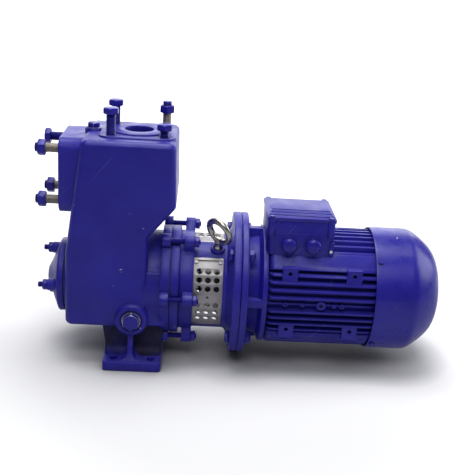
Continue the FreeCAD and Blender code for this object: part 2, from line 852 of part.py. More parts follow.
def eyebolt():
    """Lifting eye, screwed square into the upper arm and left turned as it stood."""
    base = polar(bracket_radius + 8, bracket_arm_angle, eyebolt_x)
    foot = Part.makeCylinder(eyebolt_thread / 2 + 2, 3, Vector(0, 0, 0))
    post = Part.makeCylinder(eyebolt_thread / 2 + 0.5, eyebolt_neck, Vector(0, 0, 0))
    thread = Part.makeCylinder(eyebolt_thread / 2, 16, Vector(0, 0, -16))
    centre = Vector(0, 0, eyebolt_neck + eyebolt_ring_radius)
    ring = Part.makeTorus(eyebolt_ring_radius, eyebolt_wire_radius, centre, Vector(0, 1, 0))
    eye = ring.fuse([foot, post, thread]).removeSplitter()
    eye.rotate(Vector(0, 0, 0), Vector(0, 0, 1), eyebolt_turn)
    eye.rotate(Vector(0, 0, 0), Vector(1, 0, 0), bracket_arm_angle)
    eye.translate(base)
    return eye


def motor_shield():
    """Flanged front end shield with its bearing seat."""
    start = motor_face_x
    flange_end = start + motor_flange_thickness
    seat_x = start + 14
    rim_x = shield_end_x - shield_rim
    shield = turned(
        [
            (start - motor_spigot, bearing_outer / 2 - 8),
            (start - motor_spigot, motor_spigot_radius - 0.1),
            (start, motor_spigot_radius - 0.1),
            (start, motor_flange_radius),
            (flange_end, motor_flange_radius),
            (flange_end, shield_neck_radius),
            (rim_x - 6, shield_neck_radius + 5),
            (rim_x, shield_radius),
            (shield_end_x, shield_radius),
            (shield_end_x, housing_core_radius - housing_wall),
            (seat_x + bearing_width + 6, shield_neck_radius - shield_neck_depth),
            (seat_x + bearing_width + 2, bearing_outer / 2 + 6),
            (seat_x + bearing_width + 2, bearing_outer / 2),
            (seat_x, bearing_outer / 2),
            (seat_x, bearing_outer / 2 - 8),
        ]
    )
    shield = round_rims(shield, motor_flange_radius, flange_round)
    inner = shield_radius - shield_rib_depth
    ribs = [
        sector(shield_radius, inner, flange_end - 1, shield_end_x - 1, angle, shield_rib_half_angle)
        for angle in (0, 90, 180, 270)
    ]
    shield = shield.fuse(ribs)
    return shield.cut(Part.makeCompound(motor_bolt_holes(start - 5, flange_end + 1))).removeSplitter()


def flange_fasteners():
    """Four bolts from the bracket side and their nuts behind the motor flange."""
    bolts = []
    nuts = []
    head_x = motor_face_x - adapter_flange_thickness
    nut_x = motor_face_x + motor_flange_thickness
    length = nut_x - head_x + nut_height_share * motor_bolt + 2
    for angle in motor_bolt_angles():
        centre = polar(motor_bolt_circle / 2, angle, head_x)
        bolts.append(hex_bolt(motor_bolt, length, centre, Vector(-1, 0, 0)))
        nuts.append(nut(motor_bolt, Vector(nut_x, centre.y, centre.z), Vector(1, 0, 0)))
    return {"flange_bolts": bolts, "flange_nuts": nuts}


def fin_plates():
    """Level fins on both sides, upright fins above and below, all through the middle."""
    plates = []
    reach = housing_fin_radius
    half = fin_thickness / 2
    for k in range(-fin_rows, fin_rows + 1):
        out = reach if k else middle_fin_radius
        z = shaft_height + k * fin_pitch
        plates.append(box(shield_end_x, housing_end_x, -out, out, z - half, z + half))
    for k in range(-fin_rows - 1, fin_rows + 2):
        y = k * fin_pitch
        low = shaft_height - reach
        plates.append(box(shield_end_x, housing_end_x, y - half, y + half, low, shaft_height + reach))
    return plates


def shoulders_and_rails():
    """Closed panels between the two sets of fins, on both sides above and below."""
    panels = []
    for angle in (shoulder_angle, -shoulder_angle, rail_angle, -rail_angle):
        panels.append(
            sector(housing_fin_radius, housing_core_radius - 6, shield_end_x, housing_end_x, angle,
                   shoulder_half_angle)
        )
    return panels


def foot_pads(side):
    """Pads for screw-on feet on one side, with the holes beside them in the lower rail."""
    half = pad_size / 2
    root = side * (housing_core_radius - 30)
    face = side * pad_face_y
    pads = []
    holes = []
    for x in pad_x:
        for z in (shaft_height - pad_z, shaft_height + pad_z):
            pads.append(box(x - half, x + half, min(root, face), max(root, face), z - half, z + half))
            base = Vector(x, side * (pad_face_y + 1), z + 3)
            holes.append(Part.makeCylinder(3.5, 14, base, Vector(0, -side, 0)))
        inner = side * math.sqrt(housing_core_radius ** 2 - rail_hole_z ** 2)
        outer = side * housing_fin_radius
        z = shaft_height - rail_hole_z
        holes.append(
            box(x - rail_hole / 2, x + rail_hole / 2, min(inner, outer), max(inner, outer),
                z - rail_hole / 2, z + rail_hole / 2)
        )
    return pads, holes


def middle_bosses(side):
    """Row of small bosses and one ring boss on the low rib at shaft height."""
    bosses = []
    holes = []
    out = Vector(0, side, 0)
    for offset, radius, bore in middle_boss_row:
        base = Vector(shield_end_x + offset, side * (housing_core_radius - 8), shaft_height)
        height = middle_boss_radius - housing_core_radius + 8
        bosses.append(Part.makeCylinder(radius, height, base, out))
        holes.append(Part.makeCylinder(bore, 6, base + out * (height - 5), out))
    return bosses, holes


def motor_housing():
    """Stator frame: tube with fins, shoulder panels, pads and the neck under the box."""
    core = along_x(housing_core_radius, shield_end_x, housing_end_x)
    cage = along_x(housing_fin_radius, shield_end_x, housing_end_x)
    cage = fillet_where(cage, fin_end_round, lambda c: c.x < shield_end_x + 0.1)
    neck_half = box_half - 8
    neck = box(box_x - neck_half, box_x + neck_half, box_y - neck_half, box_y + neck_half,
               shaft_height + 60, shaft_height + housing_fin_radius)
    solids = [solid.common(cage) for solid in fin_plates() + shoulders_and_rails() + [neck]]
    holes = [
        along_x(stator_outer, shield_end_x - 1, housing_end_x + 1),
        Part.makeCylinder(14, 80, Vector(box_x, box_y, shaft_height + 40)),
    ]
    for side in (-1, 1):
        for added, drilled in (foot_pads(side), middle_bosses(side)):
            solids += added
            holes += drilled
    return core.fuse(solids).cut(Part.makeCompound(holes)).removeSplitter()


def cover_screw_angles():
    """Angles of the four screws of the fan cover."""
    return [45, 135, 225, 315]


def cover_screw_hole(angle):
    """Hole for one screw of the fan cover, from its outer face inwards."""
    out = polar(1, angle, 0) - polar(0, 0, 0)
    base = polar(fan_cover_radius - cover_screw_length, angle, fan_cover_x + cover_screw_inset)
    return Part.makeCylinder(cover_screw / 2, cover_screw_length, base, out)


def rear_shield():
    """Rear end shield with the second bearing seat and four lugs under the fan cover."""
    start = housing_end_x
    seat_x = start - 2
    lug_top = fan_cover_radius - fan_cover_wall
    lugs = [
        sector(lug_top, housing_core_radius - 4, start, start + 8, angle, 7)
        for angle in cover_screw_angles()
    ]
    holes = [cover_screw_hole(angle) for angle in cover_screw_angles()]
    body = turned(
        [
            (seat_x, bearing_outer / 2),
            (seat_x, stator_outer - 12),
            (start - 6, stator_outer - 0.1),
            (start, stator_outer - 0.1),
            (start, housing_core_radius + 6),
            (start + 8, housing_core_radius),
            (seat_x + bearing_width + 2, bearing_outer / 2 + 10),
            (seat_x + bearing_width + 3, bearing_outer / 2 - 8),
            (seat_x + bearing_width, bearing_outer / 2 - 8),
            (seat_x + bearing_width, bearing_outer / 2),
        ]
    )
    return body.fuse(lugs).cut(Part.makeCompound(holes)).removeSplitter()


def stator():
    """Laminated core and the two end windings."""
    middle = (shield_end_x + housing_end_x) / 2
    start = middle - stator_length / 2
    end = middle + stator_length / 2
    core = tube_x(stator_outer, stator_inner, start, end)
    turns = [tube_x(stator_outer - 7, stator_inner + 4, start - 20, start),
             tube_x(stator_outer - 7, stator_inner + 4, end, end + 20)]
    return {"stator_core": [core], "stator_windings": turns}


def bearing(seat_x):
    """Sealed ball bearing: outer ring with its shields, and the inner ring on the shaft."""
    outer = tube_x(bearing_outer / 2, bearing_outer / 2 - 5, seat_x, seat_x + bearing_width)
    shields = [
        tube_x(bearing_outer / 2 - 4, bearing_bore / 2 + 4.3, x, x + 1)
        for x in (seat_x + 1, seat_x + bearing_width - 2)
    ]
    inner = tube_x(bearing_bore / 2 + 4, bearing_bore / 2, seat_x, seat_x + bearing_width)
    return outer.fuse(shields).removeSplitter(), inner


def rotor_parts():
    """Everything that turns: shafts, rotor, impeller, seal head and fan."""
    front_seat = motor_face_x + 14
    rear_seat = housing_end_x - 2
    front_outer, front_inner = bearing(front_seat)
    rear_outer, rear_inner = bearing(rear_seat)
    middle = (shield_end_x + housing_end_x) / 2
    start = middle - stator_length / 2
    end = middle + stator_length / 2
    fan_x = fan_cover_x + 30
    shaft_start = motor_face_x - motor_shaft_length
    motor_shaft = turned(
        [
            (shaft_start, 0),
            (shaft_start, motor_shaft_radius),
            (motor_face_x - 2, motor_shaft_radius),
            (motor_face_x - 2, bearing_bore / 2),
            (front_seat + bearing_width, bearing_bore / 2),
            (front_seat + bearing_width, bearing_bore / 2 + 5),
            (rear_seat, bearing_bore / 2 + 5),
            (rear_seat, bearing_bore / 2),
            (rear_seat + bearing_width + 4, bearing_bore / 2),
            (rear_seat + bearing_width + 4, shaft_tail_radius),
            (fan_x + 30, shaft_tail_radius),
            (fan_x + 30, 0),
        ]
    )
    core = tube_x(stator_inner - air_gap, bearing_bore / 2 + 5, start, end)
    rings = [
        tube_x(stator_inner - 5, bearing_bore / 2 + 12, x0, x1)
        for x0, x1 in ((start - 10, start), (end, end + 10))
    ]
    rotor_core = core.fuse(rings).removeSplitter()

    impeller_x = volute_left_x + wall + 4 + 0.6
    back_x = impeller_x + vane_height
    hub_end = back_x + impeller_back + 14
    pump_shaft = turned(
        [
            (impeller_x + 4, 0),
            (impeller_x + 4, 8),
            (impeller_x + 14, 8),
            (impeller_x + 14, impeller_seat_radius),
            (hub_end, impeller_seat_radius),
            (hub_end, pump_shaft_radius),
            (shaft_start - 12, pump_shaft_radius),
            (shaft_start - 8, coupling_radius),
            (motor_face_x - 6, coupling_radius),
            (motor_face_x - 6, motor_shaft_radius),
            (shaft_start, motor_shaft_radius),
            (shaft_start, 0),
        ]
    )
    parts = {
        "front_bearing_outer": [front_outer],
        "front_bearing_inner": [front_inner],
        "rear_bearing_outer": [rear_outer],
        "rear_bearing_inner": [rear_inner],
        "motor_shaft": [motor_shaft],
        "rotor_core": [rotor_core],
        "pump_shaft": [pump_shaft],
        "impeller": [impeller(impeller_x, back_x, hub_end)],
        "impeller_nut": [nut(16.0, Vector(impeller_x + 14, 0, shaft_height), Vector(-1, 0, 0))],
        "seal_head": [tube_x(20, pump_shaft_radius, hub_end + 6, cover_back_x + 2 - seal_face_gap)],
        "cooling_fan": [cooling_fan(fan_x)],
    }
    return parts


def impeller(front_x, back_x, hub_end):
    """Half-open wheel: back plate and curved vanes that sweep the wear plate."""
    plate = along_x(impeller_radius, back_x, back_x + impeller_back)
    hub = along_x(impeller_hub_radius, front_x + 14, hub_end)
    vanes = []
    bend = impeller_radius * 0.75
    for k in range(impeller_vanes):
        centre_y = bend * 0.62
        outer = along_x(bend + vane_thickness / 2, front_x, back_x + 1, centre_y, shaft_height)
        inner = along_x(bend - vane_thickness / 2, front_x - 1, back_x + 2, centre_y, shaft_height)
        vane = outer.cut(inner)
        limit = tube_x(impeller_radius, 17, front_x - 1, back_x + 2)
        upper = box(front_x - 2, back_x + 3, -impeller_radius - 2, impeller_radius + 2,
                    shaft_height, shaft_height + impeller_radius + 2)
        vane = vane.common(limit).common(upper)
        vane.rotate(Vector(0, 0, shaft_height), Vector(1, 0, 0), 360 / impeller_vanes * k)
        vanes.append(vane)
    wheel = plate.fuse([hub] + vanes)
    return wheel.cut(along_x(impeller_seat_radius, front_x - 2, hub_end + 1)).removeSplitter()


def cooling_fan(fan_x):
    """Radial fan on the rear end of the shaft."""
    end = fan_x + fan_width
    hub = tube_x(fan_hub_radius, shaft_tail_radius, fan_x, end - 8)
    disc = tube_x(fan_radius, shaft_tail_radius, fan_x, fan_x + fan_disc)
    blades = []
    for k in range(fan_blades):
        blade = box(fan_x, end, -1.5, 1.5, shaft_height + 20, shaft_height + fan_radius - 2)
        blade.rotate(Vector(0, 0, shaft_height), Vector(1, 0, 0), 360 / fan_blades * k)
        blades.append(blade)
    return hub.fuse([disc] + blades).removeSplitter()


def fan_cover_outline(inset):
    """Half outline of the fan cover from the rim to the middle of its end."""
    radius = fan_cover_radius - inset
    shoulder = fan_cover_x + fan_cover_straight
    end = fan_cover_x + fan_cover_length - inset
    cone_end = end - 13
    return [
        (fan_cover_x, radius),
        (shoulder, radius),
        (shoulder + 8, radius - 3.5),
        (cone_end - 8, fan_cover_end_radius + 20 - inset),
        (cone_end, fan_cover_end_radius + 9 - inset),
        (cone_end + 6, fan_cover_end_radius - inset),
        (end - 2, fan_cover_end_radius - 14 - inset),
        (end, fan_cover_end_radius - 26 - inset),
        (end, 0),
    ]


def fan_cover():
    """Deep-drawn steel cover with ring slots in its end."""
    shell = turned([(fan_cover_x, 0)] + fan_cover_outline(0))
    hollow = turned([(fan_cover_x - 1, 0), (fan_cover_x - 1, fan_cover_radius - fan_cover_wall)]
                    + fan_cover_outline(fan_cover_wall))
    shell = shell.cut(hollow)
    end = fan_cover_x + fan_cover_length
    slots = []
    for inner in fan_slot_radii:
        slots.append(tube_x(inner + fan_slot_width, inner, end - 14, end + 1))
    spokes = []
    for k in range(3):
        spoke = box(
            end - 15, end + 2, -60, 60, shaft_height - fan_spoke_half, shaft_height + fan_spoke_half
        )
        spoke.rotate(Vector(0, 0, shaft_height), Vector(1, 0, 0), 60 * k)
        spokes.append(spoke)
    grille = Part.makeCompound(slots).cut(Part.makeCompound(spokes))
    holes = [cover_screw_hole(angle) for angle in cover_screw_angles()]
    return shell.cut(grille).cut(Part.makeCompound(holes)).removeSplitter()


def fan_cover_screws():
    """Four screws through the rim of the cover into the lugs of the rear shield."""
    screws = []
    for angle in cover_screw_angles():
        out = polar(1, angle, 0) - polar(0, 0, 0)
        seat = polar(fan_cover_radius, angle, fan_cover_x + cover_screw_inset)
        head = Part.makeCylinder(cover_screw, 3, seat, out)
        screws.append(cover_screw_hole(angle).fuse(head).removeSplitter())
    return screws


def ear_places():
    """Places of the four screw ears of the box and its lid."""
    half_x = box_half - ear_inset_x
    half_y = box_half - ear_inset_y
    return [(box_x + sx * half_x, box_y + sy * half_y) for sx in (-1, 1) for sy in (-1, 1)]


def terminal_box_parts():
    """Cast box with a bevelled lid, two closed cable entries and the terminal board."""
    x0 = box_x - box_half
    x1 = box_x + box_half
    y0 = box_y - box_half
    y1 = box_y + box_half
    base_z = shaft_height + box_base_z
    rim_z = shaft_height + box_rim_z
    floor_z = shaft_height + housing_fin_radius
    shell = box(x0, x1, y0, y1, base_z, rim_z)
    uprights = [e for e in shell.Edges if abs(e.tangentAt(e.FirstParameter).z) > 0.9]
    shell = shell.makeFillet(box_corner, uprights)
    room = box(x0 + box_wall, x1 - box_wall, y0 + box_wall, y1 - box_wall, base_z + box_wall, rim_z + 1)
    room = room.cut(along_x(housing_fin_radius + box_wall, x0 - 1, x1 + 1))
    ears = [
        Part.makeCylinder(ear_radius, ear_depth, Vector(x, y, rim_z - ear_depth))
        for x, y in ear_places()
    ]
    threads = [
        Part.makeCylinder(lid_screw / 2, 12, Vector(x, y, rim_z - 11))
        for x, y in ear_places()
    ]
    bosses = []
    holes = []
    plugs = []
    toward = Vector(0, -1, 0)
    for x in entry_x:
        centre = Vector(x, y0, shaft_height + entry_z)
        bosses.append(Part.makeCylinder(entry_boss, 4, centre, toward))
        holes.append(Part.makeCylinder(entry_hole / 2, 40, centre + toward * 5, Vector(0, 1, 0)))
        disc = Part.makeCylinder(entry_hole / 2 + 1.5, 3, centre + toward * 4, toward)
        stem = Part.makeCylinder(entry_hole / 2, 12, centre + toward * 4, Vector(0, 1, 0))
        plugs.append(disc.fuse(stem).removeSplitter())
    envelope = along_x(housing_fin_radius, x0 - 1, x1 + 1)
    shell = shell.fuse(bosses).cut(room).fuse(ears)
    shell = shell.cut(Part.makeCompound([envelope] + holes + threads))
    wire_way = Part.makeCylinder(14, 30, Vector(box_x, box_y, floor_z - 10))
    shell = shell.cut(wire_way).removeSplitter()
    return shell, plugs


def lid_grooves():
    """Three level grooves along the near slope of the lid."""
    edge = box_half + 1
    edge_z = shaft_height + box_rim_z + lid_edge
    rise = box_lid_z - box_rim_z - lid_edge
    grooves = []
    for share in (0.3, 0.62, 0.94):
        y = box_y - edge + share * (edge - box_lid_flat)
        z = edge_z + share * rise - lid_groove_depth
        half = lid_groove / 2
        grooves.append(box(box_x - edge - 1, box_x + edge + 1, y - half, y + half, z, z + 9))
    return grooves


def lid_shape():
    """Lid with a flat top, four sloping sides and an ear at each corner."""
    rim_z = shaft_height + box_rim_z
    edge_z = rim_z + lid_edge
    top_z = shaft_height + box_lid_z
    half = box_half + 1
    skirt = box(box_x - half, box_x + half, box_y - half, box_y + half, rim_z, edge_z)
    wires = []
    for inset_x, inset_y, z in ((0, 0, edge_z), (10, half - box_lid_flat, top_z)):
        hx = half - inset_x
        hy = half - inset_y
        ring = [Vector(box_x + sx * hx, box_y + sy * hy, z)
                for sx, sy in ((-1, -1), (1, -1), (1, 1), (-1, 1), (-1, -1))]
        wires.append(Part.makePolygon(ring))
    crown = Part.makeLoft(wires, True, True)
    ears = [Part.makeCylinder(ear_radius, lid_edge, Vector(x, y, rim_z)) for x, y in ear_places()]
    return skirt.fuse([crown] + ears).cut(Part.makeCompound(lid_grooves()))


def lid_parts():
    """Lid, its four screws and the terminal board inside."""
    rim_z = shaft_height + box_rim_z
    seat = rim_z + lid_edge - 1
    screws = []
    holes = []
    for x, y in ear_places():
        holes.append(Part.makeCylinder(lid_screw, 20, Vector(x, y, seat)))
        holes.append(Part.makeCylinder(lid_screw / 2, 12, Vector(x, y, rim_z - 1)))
        head = Part.makeCylinder(lid_screw - 0.5, 3.5, Vector(x, y, seat))
        shank = Part.makeCylinder(lid_screw / 2, seat - rim_z + 10, Vector(x, y, rim_z - 10))
        screws.append(head.fuse(shank).removeSplitter())
    lid = lid_shape().cut(Part.makeCompound(holes)).removeSplitter()
    floor_z = shaft_height + housing_fin_radius + box_wall
    board_top = floor_z + board_height
    board = box(
        box_x - board_half_length, box_x + board_half_length, box_y + board_front, box_y + board_back,
        floor_z, board_top
    )
    board_middle = box_y + (board_front + board_back) / 2
    posts = [
        Part.makeCylinder(
            board_post_radius, board_post_height, Vector(box_x + dx, board_middle + dy, board_top)
        )
        for dx in (-board_post_dx, 0, board_post_dx)
        for dy in (-board_post_dy, board_post_dy)
    ]
    return {"terminal_lid": [lid], "lid_screws": screws, "terminal_board": [board.fuse(posts)]}


def export(name, solids):
    """Write one node; like pieces stay separate solids in it."""
    shape = solids[0] if len(solids) == 1 else Part.makeCompound(solids)
    shape.exportStep(os.path.join("parts", name + ".step"))


def all_parts():
    """Every node of the pump by name."""
    shell, plugs = terminal_box_parts()
    parts = {
        "pump_casing": [pump_casing()],
        "drain_plug": [drain_plug()],
        "filler_plug": [filler_plug()],
        "motor_bracket": [motor_bracket()],
        "eyebolt": [eyebolt()],
        "motor_shield": [motor_shield()],
        "motor_housing": [motor_housing()],
        "rear_shield": [rear_shield()],
        "fan_cover": [fan_cover()],
        "fan_cover_screws": fan_cover_screws(),
        "terminal_box": [shell],
        "entry_plugs": plugs,
    }
    for group in (port_fasteners(), handhole_parts(), casing_cover_parts(), casing_joint_fasteners(),
                  guards(), flange_fasteners(), stator(), rotor_parts(), lid_parts()):
        parts.update(group)
    return parts


os.makedirs("parts", exist_ok=True)
for node, node_solids in all_parts().items():
    export(node, node_solids)
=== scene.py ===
import math
import bpy
from mathutils import Matrix, Vector


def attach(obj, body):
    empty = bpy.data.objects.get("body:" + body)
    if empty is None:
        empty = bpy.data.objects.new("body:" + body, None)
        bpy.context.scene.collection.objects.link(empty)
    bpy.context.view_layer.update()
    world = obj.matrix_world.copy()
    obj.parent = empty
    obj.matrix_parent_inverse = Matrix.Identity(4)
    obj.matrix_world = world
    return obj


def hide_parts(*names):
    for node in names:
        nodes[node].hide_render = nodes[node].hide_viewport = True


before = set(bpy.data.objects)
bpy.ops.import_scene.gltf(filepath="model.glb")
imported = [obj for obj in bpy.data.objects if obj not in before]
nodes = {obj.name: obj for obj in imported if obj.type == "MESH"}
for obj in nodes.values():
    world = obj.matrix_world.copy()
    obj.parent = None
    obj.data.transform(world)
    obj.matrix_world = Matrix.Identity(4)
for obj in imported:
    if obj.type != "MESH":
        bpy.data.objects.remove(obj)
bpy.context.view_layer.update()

# Camera.
# It stands in front of the pump a little above it, on a long lens, and is rolled a few
# degrees, because the set leans on its foot's edge where it was pictured.
camera_place = Vector((0.0988, -1.4770, 0.7152))
camera_yaw = math.radians(2.94)
camera_pitch = math.radians(18.7)
camera_roll = math.radians(3.62)
focal_pixels = 880.0
frame_pixels = 475.0
sensor_width = 36.0

look = Vector((
    math.sin(camera_yaw) * math.cos(camera_pitch),
    math.cos(camera_yaw) * math.cos(camera_pitch),
    -math.sin(camera_pitch),
))
level_right = Vector((math.cos(camera_yaw), -math.sin(camera_yaw), 0))
level_up = level_right.cross(look)
right = math.cos(camera_roll) * level_right + math.sin(camera_roll) * level_up
up = math.cos(camera_roll) * level_up - math.sin(camera_roll) * level_right
turn = Matrix((right, up, -look)).transposed()

bpy.ops.object.select_all(action="DESELECT")
bpy.ops.object.camera_add(location=camera_place)
camera = bpy.context.object
camera.rotation_euler = turn.to_euler()
camera.data.sensor_width = sensor_width
camera.data.lens = sensor_width * focal_pixels / frame_pixels
camera.data.clip_end = 200
bpy.context.scene.camera = camera

# Floor, world and lamps.
# A wide pale floor glows white far off; near the pump its colour is darkened as a painted
# contact shadow. The paint mirrors a darker floor that glows only behind the pump.
# Light comes from above and from a bright wall behind; the front is dim.
scene = bpy.context.scene
scene.view_settings.view_transform = "Standard"
floor_size = 80.0
floor_mirrored = (0.50, 0.50, 0.51, 1)
floor_seen = (0.90, 0.90, 0.91, 1)
painted_shadow_reach = 0.08
glow_middle = (0.25, 0.0, 0.0)
glow_starts = 0.42
glow_is_full = 2.2
back_glow_starts = 0.15
back_glow_is_full = 0.80
back_glow_strength = 0.90
ambient_strength = 0.13


def new_material(name):
    """An empty node material: returns it with its node tree and the output node."""
    material = bpy.data.materials.new(name)
    material.use_nodes = True
    tree = material.node_tree
    tree.nodes.clear()
    output = tree.nodes.new("ShaderNodeOutputMaterial")
    return material, tree, output


bpy.ops.mesh.primitive_plane_add(size=floor_size, location=(0, 0, 0))
floor = bpy.context.object
floor.name = "floor"
floor_material, tree, output = new_material("pale_floor")
dim = tree.nodes.new("ShaderNodeBsdfDiffuse")
dim.inputs["Color"].default_value = floor_mirrored
pale = tree.nodes.new("ShaderNodeBsdfDiffuse")
# Painted contact shadow: ambient occlusion darkens the floor's colour close to the pump.
painted_contact_shadow = tree.nodes.new("ShaderNodeAmbientOcclusion")
painted_contact_shadow.samples = 8
painted_contact_shadow.inputs["Color"].default_value = floor_seen
painted_contact_shadow.inputs["Distance"].default_value = painted_shadow_reach
tree.links.new(painted_contact_shadow.outputs["Color"], pale.inputs["Color"])
place = tree.nodes.new("ShaderNodeTexCoord").outputs["Object"]
distance = tree.nodes.new("ShaderNodeVectorMath")
distance.operation = "DISTANCE"
distance.inputs[1].default_value = glow_middle
tree.links.new(place, distance.inputs[0])
far = tree.nodes.new("ShaderNodeMapRange")
far.inputs["From Min"].default_value = glow_starts
far.inputs["From Max"].default_value = glow_is_full
tree.links.new(distance.outputs["Value"], far.inputs["Value"])
glow = tree.nodes.new("ShaderNodeEmission")
tree.links.new(far.outputs["Result"], glow.inputs["Strength"])
lit = tree.nodes.new("ShaderNodeAddShader")
tree.links.new(pale.outputs[0], lit.inputs[0])
tree.links.new(glow.outputs[0], lit.inputs[1])
sides = tree.nodes.new("ShaderNodeSeparateXYZ")
tree.links.new(place, sides.inputs[0])
behind = tree.nodes.new("ShaderNodeMapRange")
behind.inputs["From Min"].default_value = back_glow_starts
behind.inputs["From Max"].default_value = back_glow_is_full
behind.inputs["To Max"].default_value = back_glow_strength
tree.links.new(sides.outputs["Y"], behind.inputs["Value"])
back_glow = tree.nodes.new("ShaderNodeEmission")
tree.links.new(behind.outputs["Result"], back_glow.inputs["Strength"])
mirrored = tree.nodes.new("ShaderNodeAddShader")
tree.links.new(dim.outputs[0], mirrored.inputs[0])
tree.links.new(back_glow.outputs[0], mirrored.inputs[1])
seen = tree.nodes.new("ShaderNodeMixShader")
tree.links.new(tree.nodes.new("ShaderNodeLightPath").outputs["Is Camera Ray"], seen.inputs["Fac"])
tree.links.new(mirrored.outputs[0], seen.inputs[1])
tree.links.new(lit.outputs[0], seen.inputs[2])
tree.links.new(seen.outputs[0], output.inputs["Surface"])
floor.data.materials.append(floor_material)

world = bpy.data.worlds.new("studio")
scene.world = world
world.use_nodes = True
tree = world.node_tree
tree.nodes.clear()
output = tree.nodes.new("ShaderNodeOutputWorld")
ambient = tree.nodes.new("ShaderNodeBackground")
ambient.inputs["Color"].default_value = (0.95, 0.97, 1.0, 1)
ambient.inputs["Strength"].default_value = ambient_strength
backdrop = tree.nodes.new("ShaderNodeBackground")
backdrop.inputs["Color"].default_value = (1, 1, 1, 1)
pick = tree.nodes.new("ShaderNodeMixShader")
tree.links.new(tree.nodes.new("ShaderNodeLightPath").outputs["Is Camera Ray"], pick.inputs["Fac"])
tree.links.new(ambient.outputs[0], pick.inputs[1])
tree.links.new(backdrop.outputs[0], pick.inputs[2])
tree.links.new(pick.outputs[0], output.inputs["Surface"])


def soft_lamp(name, place, target, width, height, power):
    """An oblong area lamp aimed at a point and itself out of sight."""
    bpy.ops.object.light_add(type="AREA", location=place)
    lamp = bpy.context.object
    lamp.name = name
    lamp.data.shape = "RECTANGLE"
    lamp.data.size = width
    lamp.data.size_y = height
    lamp.data.energy = power
    lamp.visible_camera = False
    lamp.rotation_euler = (Vector(target) - Vector(place)).to_track_quat("-Z", "Y").to_euler()
    return lamp


pump_middle = (0.2, 0.0, 0.18)
soft_lamp("top_lamp", (0.1, 0.2, 2.2), pump_middle, 1.4, 1.4, 33)
soft_lamp("wall_behind", (0.2, 2.9, 1.35), (0.2, 0.0, 0.5), 4.2, 2.0, 56)
soft_lamp("front_lamp", (0.1, -1.8, 2.4), pump_middle, 1.5, 1.0, 25)
soft_lamp("right_lamp", (2.0, 0.3, 1.0), pump_middle, 1.2, 1.2, 16)

# Pump casing.
# One grey-iron casting: the sand's grain and the fettler's uneven faces show through the
# blue paint, what looks up is paler from dust and a painted top light, the crevices are
# darkened as painted shade, and the sharp corners are worn round.
paint_deep = (0.015, 0.011, 0.32, 1)
paint_bright = (0.024, 0.019, 0.40, 1)
pale_grey_blue = (0.42, 0.42, 0.56, 1)
grime_and_shade_colour = (0.006, 0.004, 0.020, 1)
chip_grey = (0.46, 0.46, 0.50, 1)
cloud_scale = 11.0
top_patch_scale = 26.0
scuff_slant = math.radians(38)
scuff_size = (0.006, 0.10, 0.10)
dirt_and_shade_scale = 18.0
crevice_shade_reach = 0.005
chip_scale = 120.0
chip_group_scale = 13.0
gloss_scale = 34.0
wave_scale = 30.0
merge_distance = 0.00001
smooth_angle = math.radians(40)
bevel_angle = math.radians(50)
casting_round = 0.0014


def noise(tree, coordinates, scale, detail=3.0):
    """A noise texture on the given coordinates."""
    texture = tree.nodes.new("ShaderNodeTexNoise")
    texture.inputs["Scale"].default_value = scale
    texture.inputs["Detail"].default_value = detail
    tree.links.new(coordinates, texture.inputs["Vector"])
    return texture.outputs["Fac"]


def ramp(tree, value, low, high, start, end):
    """A two-stop ramp of greys or colours between two positions."""
    stops = tree.nodes.new("ShaderNodeValToRGB")
    stops.color_ramp.elements[0].position = start
    stops.color_ramp.elements[1].position = end
    stops.color_ramp.elements[0].color = low
    stops.color_ramp.elements[1].color = high
    tree.links.new(value, stops.inputs["Fac"])
    return stops.outputs["Color"]


def grey(level):
    """A grey of the given brightness."""
    return (level, level, level, 1)


def product(tree, first, second):
    """Two masks multiplied."""
    times = tree.nodes.new("ShaderNodeMath")
    times.operation = "MULTIPLY"
    tree.links.new(first, times.inputs[0])
    tree.links.new(second, times.inputs[1])
    return times.outputs[0]


def laid_over(tree, under, colour, mask):
    """One colour laid over another where the mask is bright."""
    blend = tree.nodes.new("ShaderNodeMix")
    blend.data_type = "RGBA"
    tree.links.new(mask, blend.inputs[0])
    tree.links.new(under, blend.inputs[6])
    blend.inputs[7].default_value = colour
    return blend.outputs[2]


def bumped(tree, height, depth, under=None):
    """A normal raised by a height mask, over another one if that is given."""
    bump = tree.nodes.new("ShaderNodeBump")
    bump.inputs["Distance"].default_value = depth
    tree.links.new(height, bump.inputs["Height"])
    if under:
        tree.links.new(under, bump.inputs["Normal"])
    return bump.outputs["Normal"]


